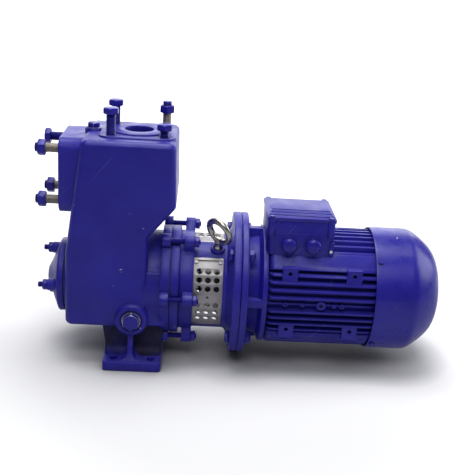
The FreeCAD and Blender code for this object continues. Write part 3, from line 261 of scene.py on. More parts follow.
def blue_paint(name, grain, grain_depth, roughness, top_dust_and_light, chips, worn=0.0005, grime_and_shade=0.1):
    """Painted metal: grain, uneven gloss, dust and painted top light on what looks up, chips,
    scuffs, grime with painted shade, and painted shade in crevices.
    """
    material, tree, output = new_material(name)
    surface = tree.nodes.new("ShaderNodeBsdfPrincipled")
    coordinates = tree.nodes.new("ShaderNodeTexCoord")
    place = coordinates.outputs["Object"]
    colour = ramp(tree, noise(tree, place, cloud_scale, 4.0), paint_deep, paint_bright, 0.35, 0.7)

    # Paler on what looks up: partly dust, partly a painted top light.
    looks = tree.nodes.new("ShaderNodeSeparateXYZ")
    tree.links.new(coordinates.outputs["Normal"], looks.inputs[0])
    lit_and_dusty_tops = ramp(tree, looks.outputs["Z"], grey(0), grey(top_dust_and_light), 0.55, 1.0)
    patchy = ramp(tree, noise(tree, place, top_patch_scale, 5.0), grey(0.45), grey(1), 0.35, 0.65)
    colour = laid_over(tree, colour, pale_grey_blue, product(tree, lit_and_dusty_tops, patchy))

    slant = tree.nodes.new("ShaderNodeMapping")
    slant.vector_type = "TEXTURE"
    slant.inputs["Rotation"].default_value = (0, scuff_slant, 0)
    slant.inputs["Scale"].default_value = scuff_size
    tree.links.new(place, slant.inputs["Vector"])
    scuffs = ramp(tree, noise(tree, slant.outputs[0], 1.0, 2.0), grey(0), grey(0.11), 0.66, 0.78)
    colour = laid_over(tree, colour, pale_grey_blue, scuffs)

    # Darker patches: dirt, and where the level is high, as on the foot, painted shade.
    dirt_and_shade = ramp(tree, noise(tree, place, dirt_and_shade_scale, 5.0), grey(0), grey(grime_and_shade), 0.25, 0.55)
    colour = laid_over(tree, colour, grime_and_shade_colour, dirt_and_shade)
    # Painted shade: ambient occlusion darkens the colour in crevices, joints and recesses.
    painted_crevice_shade = tree.nodes.new("ShaderNodeAmbientOcclusion")
    painted_crevice_shade.samples = 4
    painted_crevice_shade.inputs["Distance"].default_value = crevice_shade_reach
    shaded_crevices = ramp(tree, painted_crevice_shade.outputs["AO"], grey(0.85), grey(0), 0.35, 0.80)
    colour = laid_over(tree, colour, grime_and_shade_colour, shaded_crevices)

    spots = ramp(tree, noise(tree, place, chip_scale, 4.0), grey(0), grey(chips), 0.72, 0.74)
    where = ramp(tree, noise(tree, place, chip_group_scale, 2.0), grey(0), grey(1), 0.52, 0.60)
    colour = laid_over(tree, colour, chip_grey, product(tree, spots, where))
    tree.links.new(colour, surface.inputs["Base Color"])

    gloss = noise(tree, place, gloss_scale, 5.0)
    gloss = ramp(tree, gloss, grey(roughness - 0.07), grey(roughness + 0.10), 0.3, 0.7)
    tree.links.new(gloss, surface.inputs["Roughness"])
    worn_round = tree.nodes.new("ShaderNodeBevel")
    worn_round.samples = 4
    worn_round.inputs["Radius"].default_value = worn
    rounded = worn_round.outputs["Normal"]
    uneven = bumped(tree, noise(tree, place, wave_scale, 2.0), 6 * grain_depth, rounded)
    fine = bumped(tree, noise(tree, place, grain, 6.0), grain_depth, uneven)
    tree.links.new(fine, surface.inputs["Normal"])
    surface.inputs["Specular IOR Level"].default_value = 0.40
    tree.links.new(surface.outputs[0], output.inputs["Surface"])
    return material


def only(piece):
    """Makes the piece the one selected and active object."""
    bpy.ops.object.select_all(action="DESELECT")
    piece.select_set(True)
    bpy.context.view_layer.objects.active = piece


def merged_copy(node, name, *materials):
    """A copy of a CAD node with its doubled corners merged and its flat faces whole."""
    source = nodes[node]
    piece = bpy.data.objects.new(name, source.data.copy())
    bpy.context.collection.objects.link(piece)
    piece.data.transform(source.matrix_world)
    piece.data.materials.clear()
    for material in materials:
        piece.data.materials.append(material)
    only(piece)
    bpy.ops.mesh.customdata_custom_splitnormals_clear()
    bpy.ops.object.mode_set(mode="EDIT")
    bpy.ops.mesh.select_all(action="SELECT")
    bpy.ops.mesh.remove_doubles(threshold=merge_distance)
    bpy.ops.mesh.normals_make_consistent(inside=False)
    bpy.ops.mesh.dissolve_limited(angle_limit=math.radians(0.5))
    bpy.ops.object.mode_set(mode="OBJECT")
    return piece


def softened(piece, width, edge_slot=-1, clamped=False):
    """Rounds the piece's sharp edges by a small bevel and shades it smooth."""
    only(piece)
    edges = piece.modifiers.new("edges", "BEVEL")
    edges.width = width
    edges.segments = 2
    edges.limit_method = "ANGLE"
    edges.angle_limit = bevel_angle
    edges.use_clamp_overlap = clamped
    edges.loop_slide = False
    edges.material = edge_slot
    bpy.ops.object.modifier_apply(modifier=edges.name)
    bpy.ops.object.shade_smooth_by_angle(angle=smooth_angle)
    return piece


def belongs(piece, slot_name, *replaced):
    """The piece moves with the pump's frame and hides the CAD nodes it stands for; its slot name
    is not used.
    """
    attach(piece, "pump_frame")
    if replaced:
        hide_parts(*replaced)


def finish_nodes(material, *names):
    """Puts one material on whole CAD nodes."""
    for name in names:
        mesh = nodes[name].data
        mesh.materials.clear()
        mesh.materials.append(material)


cast_paint = blue_paint(
    "blue_paint_on_casting", grain=260.0, grain_depth=0.00022, roughness=0.40, top_dust_and_light=0.08,
    chips=0.8, worn=0.0012,
)
finish_nodes(cast_paint, "pump_casing", "motor_bracket", "casing_cover", "cleaning_cover")
casing = merged_copy("pump_casing", "casing_body", cast_paint)
casing = softened(casing, casting_round, clamped=True)
belongs(casing, "casing_paint", "pump_casing")

# Pedestal.
# The foot is a hollow block set back under the chamber, wider at the top and swept onto
# its plate at its front and back; the cross rib stands out before it.
pedestal_left = -0.0495
pedestal_right = 0.0475
pedestal_depth = 0.134
pedestal_top = 0.076
plate_top = 0.0155
sweep_side = 0.0003
sweep_front = 0.019
sweep_height = 0.016
sweep_steps = 6
pedestal_top_spread = 1.15
pedestal_round = 0.003
# The block's paint is darkened almost to black as painted shade, for the shade under the chamber.
foot_paint_in_shade = blue_paint(
    "blue_paint_in_painted_shade", grain=260.0, grain_depth=0.00022, roughness=0.60, top_dust_and_light=0.0,
    chips=0.4, worn=0.0012, grime_and_shade=0.93,
)


def swept(size, sweep, spread):
    """The block's size where its sweep has the given share left."""
    return size + 2 * sweep * spread


bpy.ops.object.select_all(action="DESELECT")
bpy.ops.mesh.primitive_plane_add(
    size=1, location=((pedestal_left + pedestal_right) / 2, 0, plate_top)
)
pedestal = bpy.context.object
pedestal.name = "casing_pedestal"
block_width = pedestal_right - pedestal_left
pedestal.scale = (
    swept(block_width, sweep_side, 1.0), swept(pedestal_depth, sweep_front, 1.0), 1
)
bpy.ops.object.transform_apply(location=True, rotation=True, scale=True)
pedestal.data.materials.append(foot_paint_in_shade)
bpy.ops.object.mode_set(mode="EDIT")
bpy.ops.mesh.select_all(action="SELECT")
spread = 1.0
height = 0.0
for step in range(1, sweep_steps + 1):
    angle = math.radians(90 * step / sweep_steps)
    next_spread = 1 - math.sin(angle)
    next_height = sweep_height * (1 - math.cos(angle))
    rise = next_height - height
    bpy.ops.mesh.extrude_region_move(TRANSFORM_OT_translate={"value": (0, 0, rise)})
    bpy.ops.transform.resize(
        value=(
            swept(block_width, sweep_side, next_spread) / swept(block_width, sweep_side, spread),
            swept(pedestal_depth, sweep_front, next_spread)
            / swept(pedestal_depth, sweep_front, spread),
            1,
        )
    )
    spread = next_spread
    height = next_height
rise = pedestal_top - plate_top - height
bpy.ops.mesh.extrude_region_move(TRANSFORM_OT_translate={"value": (0, 0, rise)})
bpy.ops.transform.resize(value=(pedestal_top_spread, 1, 1))
bpy.ops.mesh.select_all(action="SELECT")
bpy.ops.mesh.normals_make_consistent(inside=False)
bpy.ops.object.mode_set(mode="OBJECT")
softened(pedestal, pedestal_round)
belongs(pedestal, "casing_paint")

# Drain and filler plugs.
# A ring stands up round the drain boss, so that the plug sits in a shallow dish. Wrenches
# have worn the paint off the corners of both hexagons.
drain_place = Vector((-0.003, -0.095, 0.0880))
filler_place = Vector((-0.080, 0.0, 0.399))
drain_flats = 0.027
filler_flats = 0.019
plug_radius = 0.010
plug_depth = 0.014
toward_camera = Vector((0, -1, 0))
upward = Vector((0, 0, 1))
fine_paint = blue_paint(
    "blue_paint_on_machined", grain=900.0, grain_depth=0.00006, roughness=0.33, top_dust_and_light=0.06,
    chips=0.9,
)


def two_shades(tree, mask, colour):
    """A colour mottled with a darker shade of itself."""
    dark = tuple(0.75 * part for part in colour) + (1,)
    return ramp(tree, mask, dark, tuple(colour) + (1,), 0.3, 0.7)


def metal(name, colour, roughness, streaks=300.0, across=(1, 1, 1)):
    """Bare metal with fine streaks in its gloss."""
    material, tree, output = new_material(name)
    surface = tree.nodes.new("ShaderNodeBsdfPrincipled")
    place = tree.nodes.new("ShaderNodeTexCoord").outputs["Object"]
    stretch = tree.nodes.new("ShaderNodeMapping")
    stretch.inputs["Scale"].default_value = across
    tree.links.new(place, stretch.inputs["Vector"])
    grain = noise(tree, stretch.outputs[0], streaks, 4.0)
    tree.links.new(two_shades(tree, grain, colour), surface.inputs["Base Color"])
    gloss = ramp(tree, grain, grey(roughness - 0.05), grey(roughness + 0.1), 0.3, 0.7)
    tree.links.new(gloss, surface.inputs["Roughness"])
    surface.inputs["Metallic"].default_value = 1.0
    tree.links.new(surface.outputs[0], output.inputs["Surface"])
    return material


worn_edges = metal("worn_bare_edges", (0.62, 0.61, 0.66), 0.30, 500.0)


def lathe(name, outline, steps, *materials):
    """A body turned about its Z axis from (radius, height) points, both ends on the axis."""
    mesh = bpy.data.meshes.new(name)
    corners = [(radius, 0, height) for radius, height in outline]
    mesh.from_pydata(corners, [(k, k + 1) for k in range(len(corners) - 1)], [])
    body = bpy.data.objects.new(name, mesh)
    bpy.context.collection.objects.link(body)
    for material in materials:
        mesh.materials.append(material)
    only(body)
    bpy.ops.object.mode_set(mode="EDIT")
    bpy.ops.mesh.select_all(action="SELECT")
    bpy.ops.mesh.spin(steps=steps, angle=math.tau, center=(0, 0, 0), axis=(0, 0, 1))
    bpy.ops.mesh.select_all(action="SELECT")
    bpy.ops.mesh.remove_doubles(threshold=merge_distance)
    bpy.ops.mesh.normals_make_consistent(inside=False)
    bpy.ops.object.mode_set(mode="OBJECT")
    return body


def cut_with(piece, tool, operation):
    """Cuts the piece with the tool, or keeps what they share, and removes the tool."""
    only(piece)
    cut = piece.modifiers.new("cut", "BOOLEAN")
    cut.operation = operation
    cut.object = tool
    cut.solver = "EXACT"
    bpy.ops.object.modifier_apply(modifier=cut.name)
    bpy.data.objects.remove(tool)


def hexagon(name, flats, height, *materials):
    """A hexagon block on the ground whose corners are turned off at both ends."""
    corner = flats / math.sqrt(3)
    bpy.ops.object.select_all(action="DESELECT")
    bpy.ops.mesh.primitive_cylinder_add(
        vertices=6, radius=corner, depth=height, location=(0, 0, height / 2)
    )
    block = bpy.context.object
    block.name = name
    bpy.ops.object.transform_apply(location=True, rotation=True, scale=True)
    for material in materials:
        block.data.materials.append(material)
    face = 0.475 * flats
    wide = 1.06 * corner
    drop = (wide - face) * math.tan(math.radians(30))
    turned = lathe(
        "turned_corners",
        [(0, 0), (face, 0), (wide, drop), (wide, height - drop), (face, height), (0, height)],
        48,
        *materials,
    )
    cut_with(block, turned, "INTERSECT")
    return block


def joined(name, *pieces):
    """Several bodies made into one."""
    bpy.ops.object.select_all(action="DESELECT")
    for piece in pieces:
        piece.select_set(True)
    bpy.context.view_layer.objects.active = pieces[0]
    bpy.ops.object.join()
    pieces[0].name = name
    return pieces[0]


def placed(name, master, places):
    """Copies of a body that stand at (point, direction) places, made into one body."""
    copies = []
    for point, direction in places:
        only(master)
        bpy.ops.object.duplicate()
        copy = bpy.context.object
        lean = Vector(direction).to_track_quat("Z", "Y").to_matrix().to_4x4()
        copy.matrix_world = Matrix.Translation(point) @ lean
        bpy.ops.object.transform_apply(location=True, rotation=True, scale=True)
        copies.append(copy)
    bpy.data.objects.remove(master)
    return joined(name, *copies)


dish = lathe(
    "dish_ring",
    [
        (0.0185, -0.0075), (0.0185, 0.0010), (0.0190, 0.0019), (0.0202, 0.0023),
        (0.0244, 0.0021), (0.0264, 0.0012), (0.0277, -0.0008), (0.0284, -0.0040),
        (0.0290, -0.0075), (0.0185, -0.0075),
    ],
    72,
    cast_paint,
)
bpy.ops.object.shade_smooth_by_angle(angle=smooth_angle)
dish = placed("drain_boss_ring", dish, [(drain_place, toward_camera)])
belongs(dish, "casing_paint")


def hexagon_plug(name, flats, head_height, collar_radius, collar_height, round_width, seat):
    """A threaded plug with a collar and a hexagon head, its edges worn bare."""
    collar = lathe(
        "collar",
        [
            (0, -plug_depth), (plug_radius, -plug_depth), (plug_radius, 0),
            (collar_radius, 0), (collar_radius, collar_height), (0, collar_height),
        ],
        48, fine_paint, worn_edges,
    )
    head = hexagon("head", flats, head_height, fine_paint, worn_edges)
    return placed(name, softened(joined(name, head, collar), round_width, 1), [seat])


drain = hexagon_plug(
    "drain_plug_body", drain_flats, head_height=0.012, collar_radius=0.016, collar_height=0.003,
    round_width=0.0011, seat=(drain_place, toward_camera),
)
belongs(drain, "casing_paint", "drain_plug")
filler = hexagon_plug(
    "filler_plug_body", filler_flats, head_height=0.010, collar_radius=0.013,
    collar_height=0.002, round_width=0.0005, seat=(filler_place, upward),
)
belongs(filler, "casing_paint", "filler_plug")

# Port fasteners.
# Threaded studs, nuts and bolts left loose in the two pads: the threads are bare and
# dull between pad and nut, and what stands outside was painted with the pump.
port_circle = 0.125
port_offset = port_circle / 2 / math.sqrt(2)
suction_pad = -0.131
suction_height = 0.327
discharge_pad = 0.399
discharge_x = -0.003
port_thread = 0.016
port_pitch = 0.002
port_flats = 0.024
bare_length = 0.030
suction_stud_root = 0.022
suction_stud_tip = 0.040
suction_nut_lift = 0.0225
suction_bolt_lift = 0.028
suction_bolt_shank = 0.048
discharge_stud_root = 0.020
discharge_stud_tip = 0.044
discharge_nut_lift = 0.024
discharge_bolt_root = 0.018
edge_round = 0.0004
leftward = Vector((-1, 0, 0))
dull_steel = metal("dull_thread", (0.56, 0.52, 0.47), 0.46, 600.0)


def threaded(name, diameter, pitch, start, end, *materials):
    """A bar with thread ridges from start to end and a chamfer at its tip."""
    crest = diameter / 2
    root = crest - 0.55 * pitch
    turns = int((end - start) / pitch)
    outline = [(0, start), (root, start)]
    for k in range(turns):
        outline.append((root, start + (k + 0.15) * pitch))
        outline.append((crest, start + (k + 0.5) * pitch))
        outline.append((crest, start + (k + 0.62) * pitch))
    outline += [(root, end), (0, end)]
    return lathe(name, outline, 28, *materials)


def bolt(name, thread, pitch, flats, shank, *materials):
    """A hexagon bolt with its head on the ground and its thread below."""
    head = softened(hexagon(name, flats, 0.65 * thread, *materials), edge_round)
    return joined(name, head, threaded("thread", thread, pitch, -shank, 0.0, *materials))


def nut(name, thread, flats, *materials):
    """A hexagon nut that stands on the ground; the stud fills its hole."""
    return softened(hexagon(name, flats, 0.8 * thread, *materials), edge_round)


def port_stud(root, tip):
    """A stud of a pad: bare where it was covered, painted at its tip."""
    bare = threaded("bare", port_thread, port_pitch, -root, bare_length, dull_steel)
    end = threaded("tip", port_thread, port_pitch, bare_length, tip, fine_paint)
    return joined("stud", bare, end)


stud_points = [
    Vector((suction_pad, side * port_offset, suction_height + rise * port_offset))
    for side, rise in ((-1, 1), (-1, -1), (1, -1))
]
suction_studs = placed(
    "suction_stud_threads", port_stud(suction_stud_root, suction_stud_tip),
    [(point, leftward) for point in stud_points],
)
belongs(suction_studs, "thread_steel", "suction_studs")

suction_nuts = placed(
    "suction_nut_blocks", nut("nut", port_thread, port_flats, fine_paint),
    [(point + suction_nut_lift * leftward, leftward) for point in stud_points],
)
belongs(suction_nuts, "cover_paint", "suction_nuts")

far_corner = Vector((suction_pad - suction_bolt_lift, port_offset, suction_height + port_offset))
suction_bolt = bolt("bolt", port_thread, port_pitch, port_flats, suction_bolt_shank, fine_paint)
suction_bolt = placed("suction_bolt_body", suction_bolt, [(far_corner, leftward)])
belongs(suction_bolt, "cover_paint", "suction_bolt")

discharge_bodies = []
for side, depth, lift in ((-1, -1, 0.034), (-1, 1, 0.032), (1, -1, 0.011)):
    seat = Vector((discharge_x + side * port_offset, depth * port_offset, discharge_pad + lift))
    shank = lift + discharge_bolt_root
    body = bolt("bolt", port_thread, port_pitch, port_flats, shank, fine_paint)
    discharge_bodies.append(placed("bolt", body, [(seat, upward)]))
discharge_bolts = joined("discharge_bolt_bodies", *discharge_bodies)
belongs(discharge_bolts, "cover_paint", "discharge_bolts")

far_right = Vector((discharge_x + port_offset, port_offset, discharge_pad))
discharge_stud = port_stud(discharge_stud_root, discharge_stud_tip)
discharge_stud = placed("discharge_stud_thread", discharge_stud, [(far_right, upward)])
belongs(discharge_stud, "thread_steel", "discharge_stud")
nut_seat = far_right + discharge_nut_lift * upward
discharge_nut = nut("nut", port_thread, port_flats, fine_paint)
discharge_nut = placed("discharge_nut_block", discharge_nut, [(nut_seat, upward)])
belongs(discharge_nut, "cover_paint", "discharge_nut")
finish_nodes(
    fine_paint, "drain_plug", "filler_plug", "suction_nuts", "suction_bolt", "discharge_bolts",
    "discharge_nut",
)
finish_nodes(dull_steel, "suction_studs", "discharge_stud")

# Cleaning cover.
# The domed cover of the hand hole on the suction side, held by three studs through tall
# bosses, on a fibre gasket.
shaft_height = 0.132
small_thread = 0.010
small_pitch = 0.0015
small_flats = 0.017
cover_stud_circle = 0.046
cover_stud_angle = 95
cover_stud_root = 0.0415
cover_stud_tip = 0.016
cover_boss_x = -0.1525
cover_round = 0.0012


def plain(name, colour, roughness, grain=300.0):
    """Moulded or cast surface with a light mottle."""
    material, tree, output = new_material(name)
    surface = tree.nodes.new("ShaderNodeBsdfPrincipled")
    place = tree.nodes.new("ShaderNodeTexCoord").outputs["Object"]
    mottle = noise(tree, place, grain, 4.0)
    tree.links.new(two_shades(tree, mottle, colour), surface.inputs["Base Color"])
    surface.inputs["Roughness"].default_value = roughness
    tree.links.new(bumped(tree, mottle, 0.0002), surface.inputs["Normal"])
    tree.links.new(surface.outputs[0], output.inputs["Surface"])
    return material


def polar(radius, degrees, x):
    """A point at an angle from the top of the shaft's circle, towards the camera."""
    angle = math.radians(degrees)
    return Vector((x, -radius * math.sin(angle), shaft_height + radius * math.cos(angle)))


def fasten(group, places, root, tip):
    """Small painted studs and their nuts at the given places, for the group's CAD nodes."""
    studs = threaded("stud", small_thread, small_pitch, -root, tip, fine_paint)
    studs = placed(group + "_stud_threads", studs, places)
    belongs(studs, "cover_paint", group + "_studs")
    nuts = nut("nut", small_thread, small_flats, fine_paint)
    nuts = placed(group + "_nut_blocks", nuts, places)
    belongs(nuts, "cover_paint", group + "_nuts")
    finish_nodes(fine_paint, group + "_studs", group + "_nuts")


gasket_fibre = plain("gasket_fibre", (0.05, 0.05, 0.05), 0.8)
finish_nodes(gasket_fibre, "casing_gasket", "cleaning_cover_gasket")
cleaning_cover = merged_copy("cleaning_cover", "cleaning_cover_body", cast_paint)
cleaning_cover = softened(cleaning_cover, cover_round)
belongs(cleaning_cover, "casing_paint", "cleaning_cover")
cover_places = [
    (polar(cover_stud_circle, cover_stud_angle + 120 * k, cover_boss_x), leftward)
    for k in range(3)
]
fasten("cleaning_cover", cover_places, cover_stud_root, cover_stud_tip)

# Casing joint.
# The back cover closes the volute between the casing's lugs and the bracket's, and six
# long studs with their nuts hold all three.
rightward = Vector((1, 0, 0))
joint_radius = 0.102
joint_stud_root = 0.0545
joint_stud_tip = 0.010
bracket_nut_x = 0.0995
back_cover_round = 0.0010
back_cover = merged_copy("casing_cover", "casing_cover_body", cast_paint)
back_cover = softened(back_cover, back_cover_round)
belongs(back_cover, "casing_paint", "casing_cover")
joint_places = [(polar(joint_radius, 30 + 60 * k, bracket_nut_x), rightward) for k in range(6)]
fasten("casing", joint_places, joint_stud_root, joint_stud_tip)

# Motor bracket and guards.
# The cast bracket's three windows are closed by perforated stainless sheets. The near
# sheet's upper edge is folded into a lip with an ear at each corner.
bracket_radius = 0.084
guard_start = 0.0995
guard_end = 0.1505
guard_edge_angle = 43.0
guard_round = 0.0003
lip_size = (guard_end - guard_start - 0.002, 0.0050, 0.0014)
lip_angle = guard_edge_angle + 1.5
lip_lift = 0.0022
lip_tilt = -9
ear_size = (0.0065, 0.0060, 0.0022)
ear_angle = guard_edge_angle + 5.0
ear_lift = 0.0012
ear_inset_left = 0.0045
ear_inset_right = 0.0050
bracket = merged_copy("motor_bracket", "bracket_body", cast_paint)
bracket = softened(bracket, casting_round, clamped=True)
belongs(bracket, "casing_paint", "motor_bracket")
stainless = metal("rolled_stainless", (0.50, 0.485, 0.50), 0.50, 500.0, (1, 12, 12))
for node in ("guard_near", "guard_bottom", "guard_top"):
    sheet = softened(merged_copy(node, node + "_sheet", stainless), guard_round)
    belongs(sheet, "stainless", node)
finish_nodes(stainless, "guard_near", "guard_bottom", "guard_top")


def slab(name, size, place, round_width, material, lean=0.0):
    """A rounded block about a point, turned about the shaft's direction by lean degrees."""
    bpy.ops.object.select_all(action="DESELECT")
    bpy.ops.mesh.primitive_cube_add(size=1, location=place)
    block = bpy.context.object
    block.name = name
    block.scale = size
    block.rotation_euler = (math.radians(lean), 0, 0)
    bpy.ops.object.transform_apply(location=True, rotation=True, scale=True)
    block.data.materials.append(material)
    return softened(block, round_width)


lip_place = polar(bracket_radius + lip_lift, lip_angle, (guard_start + guard_end) / 2)
lip = slab("lip", lip_size, lip_place, lip_size[2] / 4, stainless, lip_angle + lip_tilt)
ears = [
    slab(
        "ear", ear_size, polar(bracket_radius + ear_lift, ear_angle, x), ear_size[2] / 4,
        stainless, ear_angle,
    )
    for x in (guard_start + ear_inset_left, guard_end - ear_inset_right)
]
guard_lip = joined("guard_lip", lip, *ears)
belongs(guard_lip, "stainless")

# Eyebolt.
# A forged lifting eye of bright steel, screwed square into the upper arm and left turned
# as it stood. Remeshing melts the ring into its neck as the forging does.
eye_angle = 30.0
eye_turn = -40.0
eye_seat = 0.092
eye_x = 0.140
eye_neck = 0.018
eye_ring = 0.0215
eye_wire = 0.0055
melt_size = 0.0007
zinc = metal("zinc_plate", (0.56, 0.54, 0.49), 0.24, 200.0)
finish_nodes(zinc, "eyebolt")
shank = lathe(
    "shank",
    [
        (0, -0.016), (0.006, -0.016), (0.006, 0), (0.0085, 0), (0.0088, 0.0015), (0.0083, 0.0035),
        (0.0070, 0.0055), (0.0064, 0.010), (0.0068, 0.014), (0.0085, 0.0175), (0, 0.0225),
    ],
    48,
    zinc,
)
bpy.ops.object.select_all(action="DESELECT")
bpy.ops.mesh.primitive_torus_add(
    location=(0, 0, eye_neck + eye_ring), rotation=(math.radians(90), 0, 0),
    major_segments=72, minor_segments=24, major_radius=eye_ring, minor_radius=eye_wire,
)
ring = bpy.context.object
bpy.ops.object.transform_apply(location=True, rotation=True, scale=True)
eye = joined("eyebolt_forging", shank, ring)
melt = eye.modifiers.new("melt", "REMESH")
melt.mode = "VOXEL"
melt.voxel_size = melt_size
bpy.ops.object.modifier_apply(modifier=melt.name)
ease = eye.modifiers.new("ease", "SMOOTH")
ease.factor = 0.6
ease.iterations = 12
bpy.ops.object.modifier_apply(modifier=ease.name)
bpy.ops.object.shade_smooth()
eye.matrix_world = (
    Matrix.Translation(polar(eye_seat, eye_angle, eye_x))
    @ Matrix.Rotation(math.radians(eye_angle), 4, "X")
    @ Matrix.Rotation(math.radians(eye_turn), 4, "Z")
)
only(eye)
bpy.ops.object.transform_apply(location=True, rotation=True, scale=True)
belongs(eye, "zinc_steel", "eyebolt")

# Motor shield and flange bolts.
# The die-cast front shield meets the bracket flange to flange, with rounded rims and a
# thin dark joint between them; four bolts pass through both.
flange_circle = 0.1075
flange_thread = 0.012
flange_pitch = 0.00175
flange_flats = 0.019
flange_head_x = 0.1665
flange_nut_x = 0.1925
flange_bolt_shank = 0.0376
shield_round = 0.0010
die_cast_paint = blue_paint(
    "blue_paint_on_die_cast", grain=420.0, grain_depth=0.00012, roughness=0.38, top_dust_and_light=0.06,
    chips=0.7,
)
shield = merged_copy("motor_shield", "shield_body", die_cast_paint)
shield = softened(shield, shield_round, clamped=True)
belongs(shield, "motor_paint", "motor_shield")
corners = (45, 135, 225, 315)
flange_bolts = bolt(
    "bolt", flange_thread, flange_pitch, flange_flats, flange_bolt_shank, fine_paint
)
flange_bolts = placed(
    "flange_bolt_bodies", flange_bolts,
    [(polar(flange_circle, angle, flange_head_x), leftward) for angle in corners],
)
belongs(flange_bolts, "cover_paint", "flange_bolts")
flange_nuts = placed(
    "flange_nut_blocks", nut("nut", flange_thread, flange_flats, fine_paint),
    [(polar(flange_circle, angle, flange_nut_x), rightward) for angle in corners],
)
belongs(flange_nuts, "cover_paint", "flange_nuts")
finish_nodes(fine_paint, "flange_bolts", "flange_nuts")

# Motor housing.
# Die-cast aluminium frame with long fins whose crests are worn a little round, and the
# rear shield under the fan cover.
fin_round = 0.0006
housing = merged_copy("motor_housing", "housing_body", die_cast_paint)
housing = softened(housing, fin_round, clamped=True)
belongs(housing, "motor_paint", "motor_housing")
finish_nodes(die_cast_paint, "motor_shield", "motor_housing", "rear_shield")

# Terminal box.
# Cast box and bevelled lid with ears, a flat panel round the two closed entries, a bar
# across each plug, and a small earthing post with a bright screw at the near corner.
box_face_y = -0.0695
box_middle_x = 0.2785
entry_height = 0.2295
entry_places_x = (0.2590, 0.3005)
box_round = 0.0008
lid_round = 0.0002
panel_size = (0.088, 0.0016, 0.040)
panel_place = (box_middle_x + 0.001, box_face_y - 0.0001, entry_height)
panel_round = 0.0006
plug_seat = 0.004
bar_size = (0.0110, 0.0036, 0.0020)
bar_lift = 0.0094
bar_drop = 0.0042
bar_round = 0.0005
post_x = 0.3325
post_size = (0.0080, 0.0050, 0.0240)
post_place = (post_x, box_face_y + 0.0010, 0.2240)
post_round = 0.0018
screw_place = Vector((post_x - 0.001, box_face_y - 0.0015, 0.2200))
terminal_box = merged_copy("terminal_box", "box_body", die_cast_paint)
terminal_box = softened(terminal_box, box_round, clamped=True)
belongs(terminal_box, "motor_paint", "terminal_box")
lid = merged_copy("terminal_lid", "lid_body", die_cast_paint)
lid = softened(lid, lid_round, clamped=True)
belongs(lid, "motor_paint", "terminal_lid")
panel = slab("entry_panel", panel_size, panel_place, panel_round, die_cast_paint)
belongs(panel, "motor_paint")

plug_outline = [
    (0, -0.012), (0.0125, -0.012), (0.0125, 0.0), (0.0132, 0.0), (0.0132, 0.0042),
    (0.0127, 0.0062), (0.0114, 0.0078), (0.0094, 0.0089), (0.0066, 0.0096), (0.0034, 0.0100),
    (0, 0.0101),
]
plug_bodies = []
for x in entry_places_x:
    plug = lathe("plug", plug_outline, 56, fine_paint)
    bpy.ops.object.shade_smooth_by_angle(angle=smooth_angle)
    face = Vector((x, box_face_y - plug_seat, entry_height))
    plug = placed("plug", plug, [(face, toward_camera)])
    bar_place = face + bar_lift * toward_camera - bar_drop * upward
    bar = slab("bar", bar_size, bar_place, bar_round, fine_paint)
    plug_bodies += [plug, bar]
plugs = joined("entry_plug_bodies", *plug_bodies)
belongs(plugs, "plug_plastic", "entry_plugs")

earth_post = slab("earth_post", post_size, post_place, post_round, die_cast_paint)
belongs(earth_post, "motor_paint")
bright_steel = metal("bright_screw", (0.86, 0.86, 0.84), 0.22, 400.0)
earth_screw = lathe(
    "earth_screw",
    [(0, -0.003), (0.0028, -0.003), (0.0028, 0.0012), (0.0020, 0.0020), (0, 0.0021)],
    32,
    bright_steel,
)
bpy.ops.object.shade_smooth_by_angle(angle=smooth_angle)
earth_screw = placed("earth_screw", earth_screw, [(screw_place, toward_camera)])
belongs(earth_screw, "zinc_steel")
finish_nodes(die_cast_paint, "terminal_box", "terminal_lid", "entry_plugs", "lid_screws")

# Fan cover.
# One deep-drawn steel shell, turned here from a smooth outline, with ring slots cut in
# its end that six spokes divide.
fan_cover_x = 0.4105
fan_cover_end = 0.124
fan_cover_wall = 0.002
slot_width = 0.006
slot_depth = 0.020
slot_radii = (0.012, 0.022, 0.032, 0.042)
spoke_half = 0.003
sheet_paint = blue_paint(
    "blue_paint_on_sheet", grain=1200.0, grain_depth=0.00004, roughness=0.30, top_dust_and_light=0.06,
    chips=1.0,
)
fan_cover_outline = [
    (0.1085, 0.0), (0.1090, 0.002), (0.1090, 0.060), (0.1090, 0.068), (0.1055, 0.077),
    (0.0930, 0.095), (0.0790, 0.110), (0.0660, 0.118), (0.0480, 0.1235), (0.0380, 0.124),
    (0.0200, 0.124), (0.0, 0.124),
]


def eased(points, rounds):
    """Cuts the corners of an open outline again and again until it runs smooth."""
    for _ in range(rounds):
        cut = [points[0]]
        for (r0, z0), (r1, z1) in zip(points, points[1:]):
            cut.append((0.75 * r0 + 0.25 * r1, 0.75 * z0 + 0.25 * z1))
            cut.append((0.25 * r0 + 0.75 * r1, 0.25 * z0 + 0.75 * z1))
        points = cut + [points[-1]]
    return points


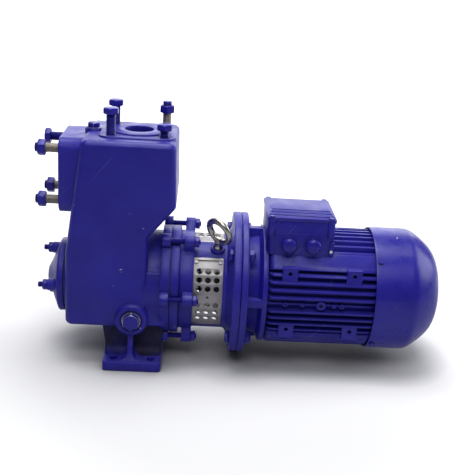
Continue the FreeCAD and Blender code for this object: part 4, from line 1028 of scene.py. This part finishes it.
cover = lathe("fan_cover_shell", eased(fan_cover_outline, 3), 112, sheet_paint)
wall = cover.modifiers.new("wall", "SOLIDIFY")
wall.thickness = fan_cover_wall
wall.offset = -1
bpy.ops.object.modifier_apply(modifier=wall.name)
slot_blocks = []
for inner in slot_radii:
    middle = inner + slot_width / 2
    gap = math.asin(spoke_half / middle)
    bpy.ops.object.select_all(action="DESELECT")
    bpy.ops.mesh.primitive_plane_add(
        size=1, location=(middle, 0, fan_cover_end), rotation=(math.radians(90), 0, 0)
    )
    block = bpy.context.object
    block.scale = (slot_width, slot_depth, 1)
    bpy.ops.object.transform_apply(location=True, rotation=True, scale=True)
    bpy.ops.object.mode_set(mode="EDIT")
    bpy.ops.mesh.select_all(action="SELECT")
    bpy.ops.mesh.spin(
        steps=10, angle=math.radians(60) - 2 * gap, center=(0, 0, 0), axis=(0, 0, 1)
    )
    bpy.ops.mesh.select_all(action="SELECT")
    bpy.ops.mesh.normals_make_consistent(inside=False)
    bpy.ops.object.mode_set(mode="OBJECT")
    for k in range(6):
        only(block)
        bpy.ops.object.duplicate()
        copy = bpy.context.object
        copy.rotation_euler = (0, 0, math.radians(60 * k))
        bpy.ops.object.transform_apply(location=True, rotation=True, scale=True)
        slot_blocks.append(copy)
    bpy.data.objects.remove(block)
cut_with(cover, joined("slots", *slot_blocks), "DIFFERENCE")
only(cover)
bpy.ops.object.shade_smooth_by_angle(angle=smooth_angle)
cover = placed("fan_cover_shell", cover, [(Vector((fan_cover_x, 0, shaft_height)), rightward)])
belongs(cover, "cover_paint", "fan_cover")
finish_nodes(sheet_paint, "fan_cover", "fan_cover_screws")

# Inner pieces.
# What the castings hide: shafts, bearings, seal, impeller and wear plate, stator and
# rotor, the fan and the terminal board.
ground = metal("ground_steel", (0.34, 0.33, 0.33), 0.42, 800.0, (12, 1, 1))
finish_nodes(
    ground, "pump_shaft", "motor_shaft", "impeller_nut", "seal_head", "front_bearing_outer",
    "front_bearing_inner", "rear_bearing_outer", "rear_bearing_inner",
)
finish_nodes(plain("cast_iron", (0.10, 0.10, 0.11), 0.6), "impeller", "wear_plate")
finish_nodes(plain("black_plastic", (0.03, 0.03, 0.03), 0.5), "cooling_fan", "terminal_board")
finish_nodes(plain("seal_ceramic", (0.6, 0.58, 0.54), 0.3), "seal_seat")
finish_nodes(plain("laminations", (0.22, 0.22, 0.24), 0.5, 900.0), "stator_core", "rotor_core")
finish_nodes(plain("varnished_copper", (0.36, 0.13, 0.05), 0.4), "stator_windings")
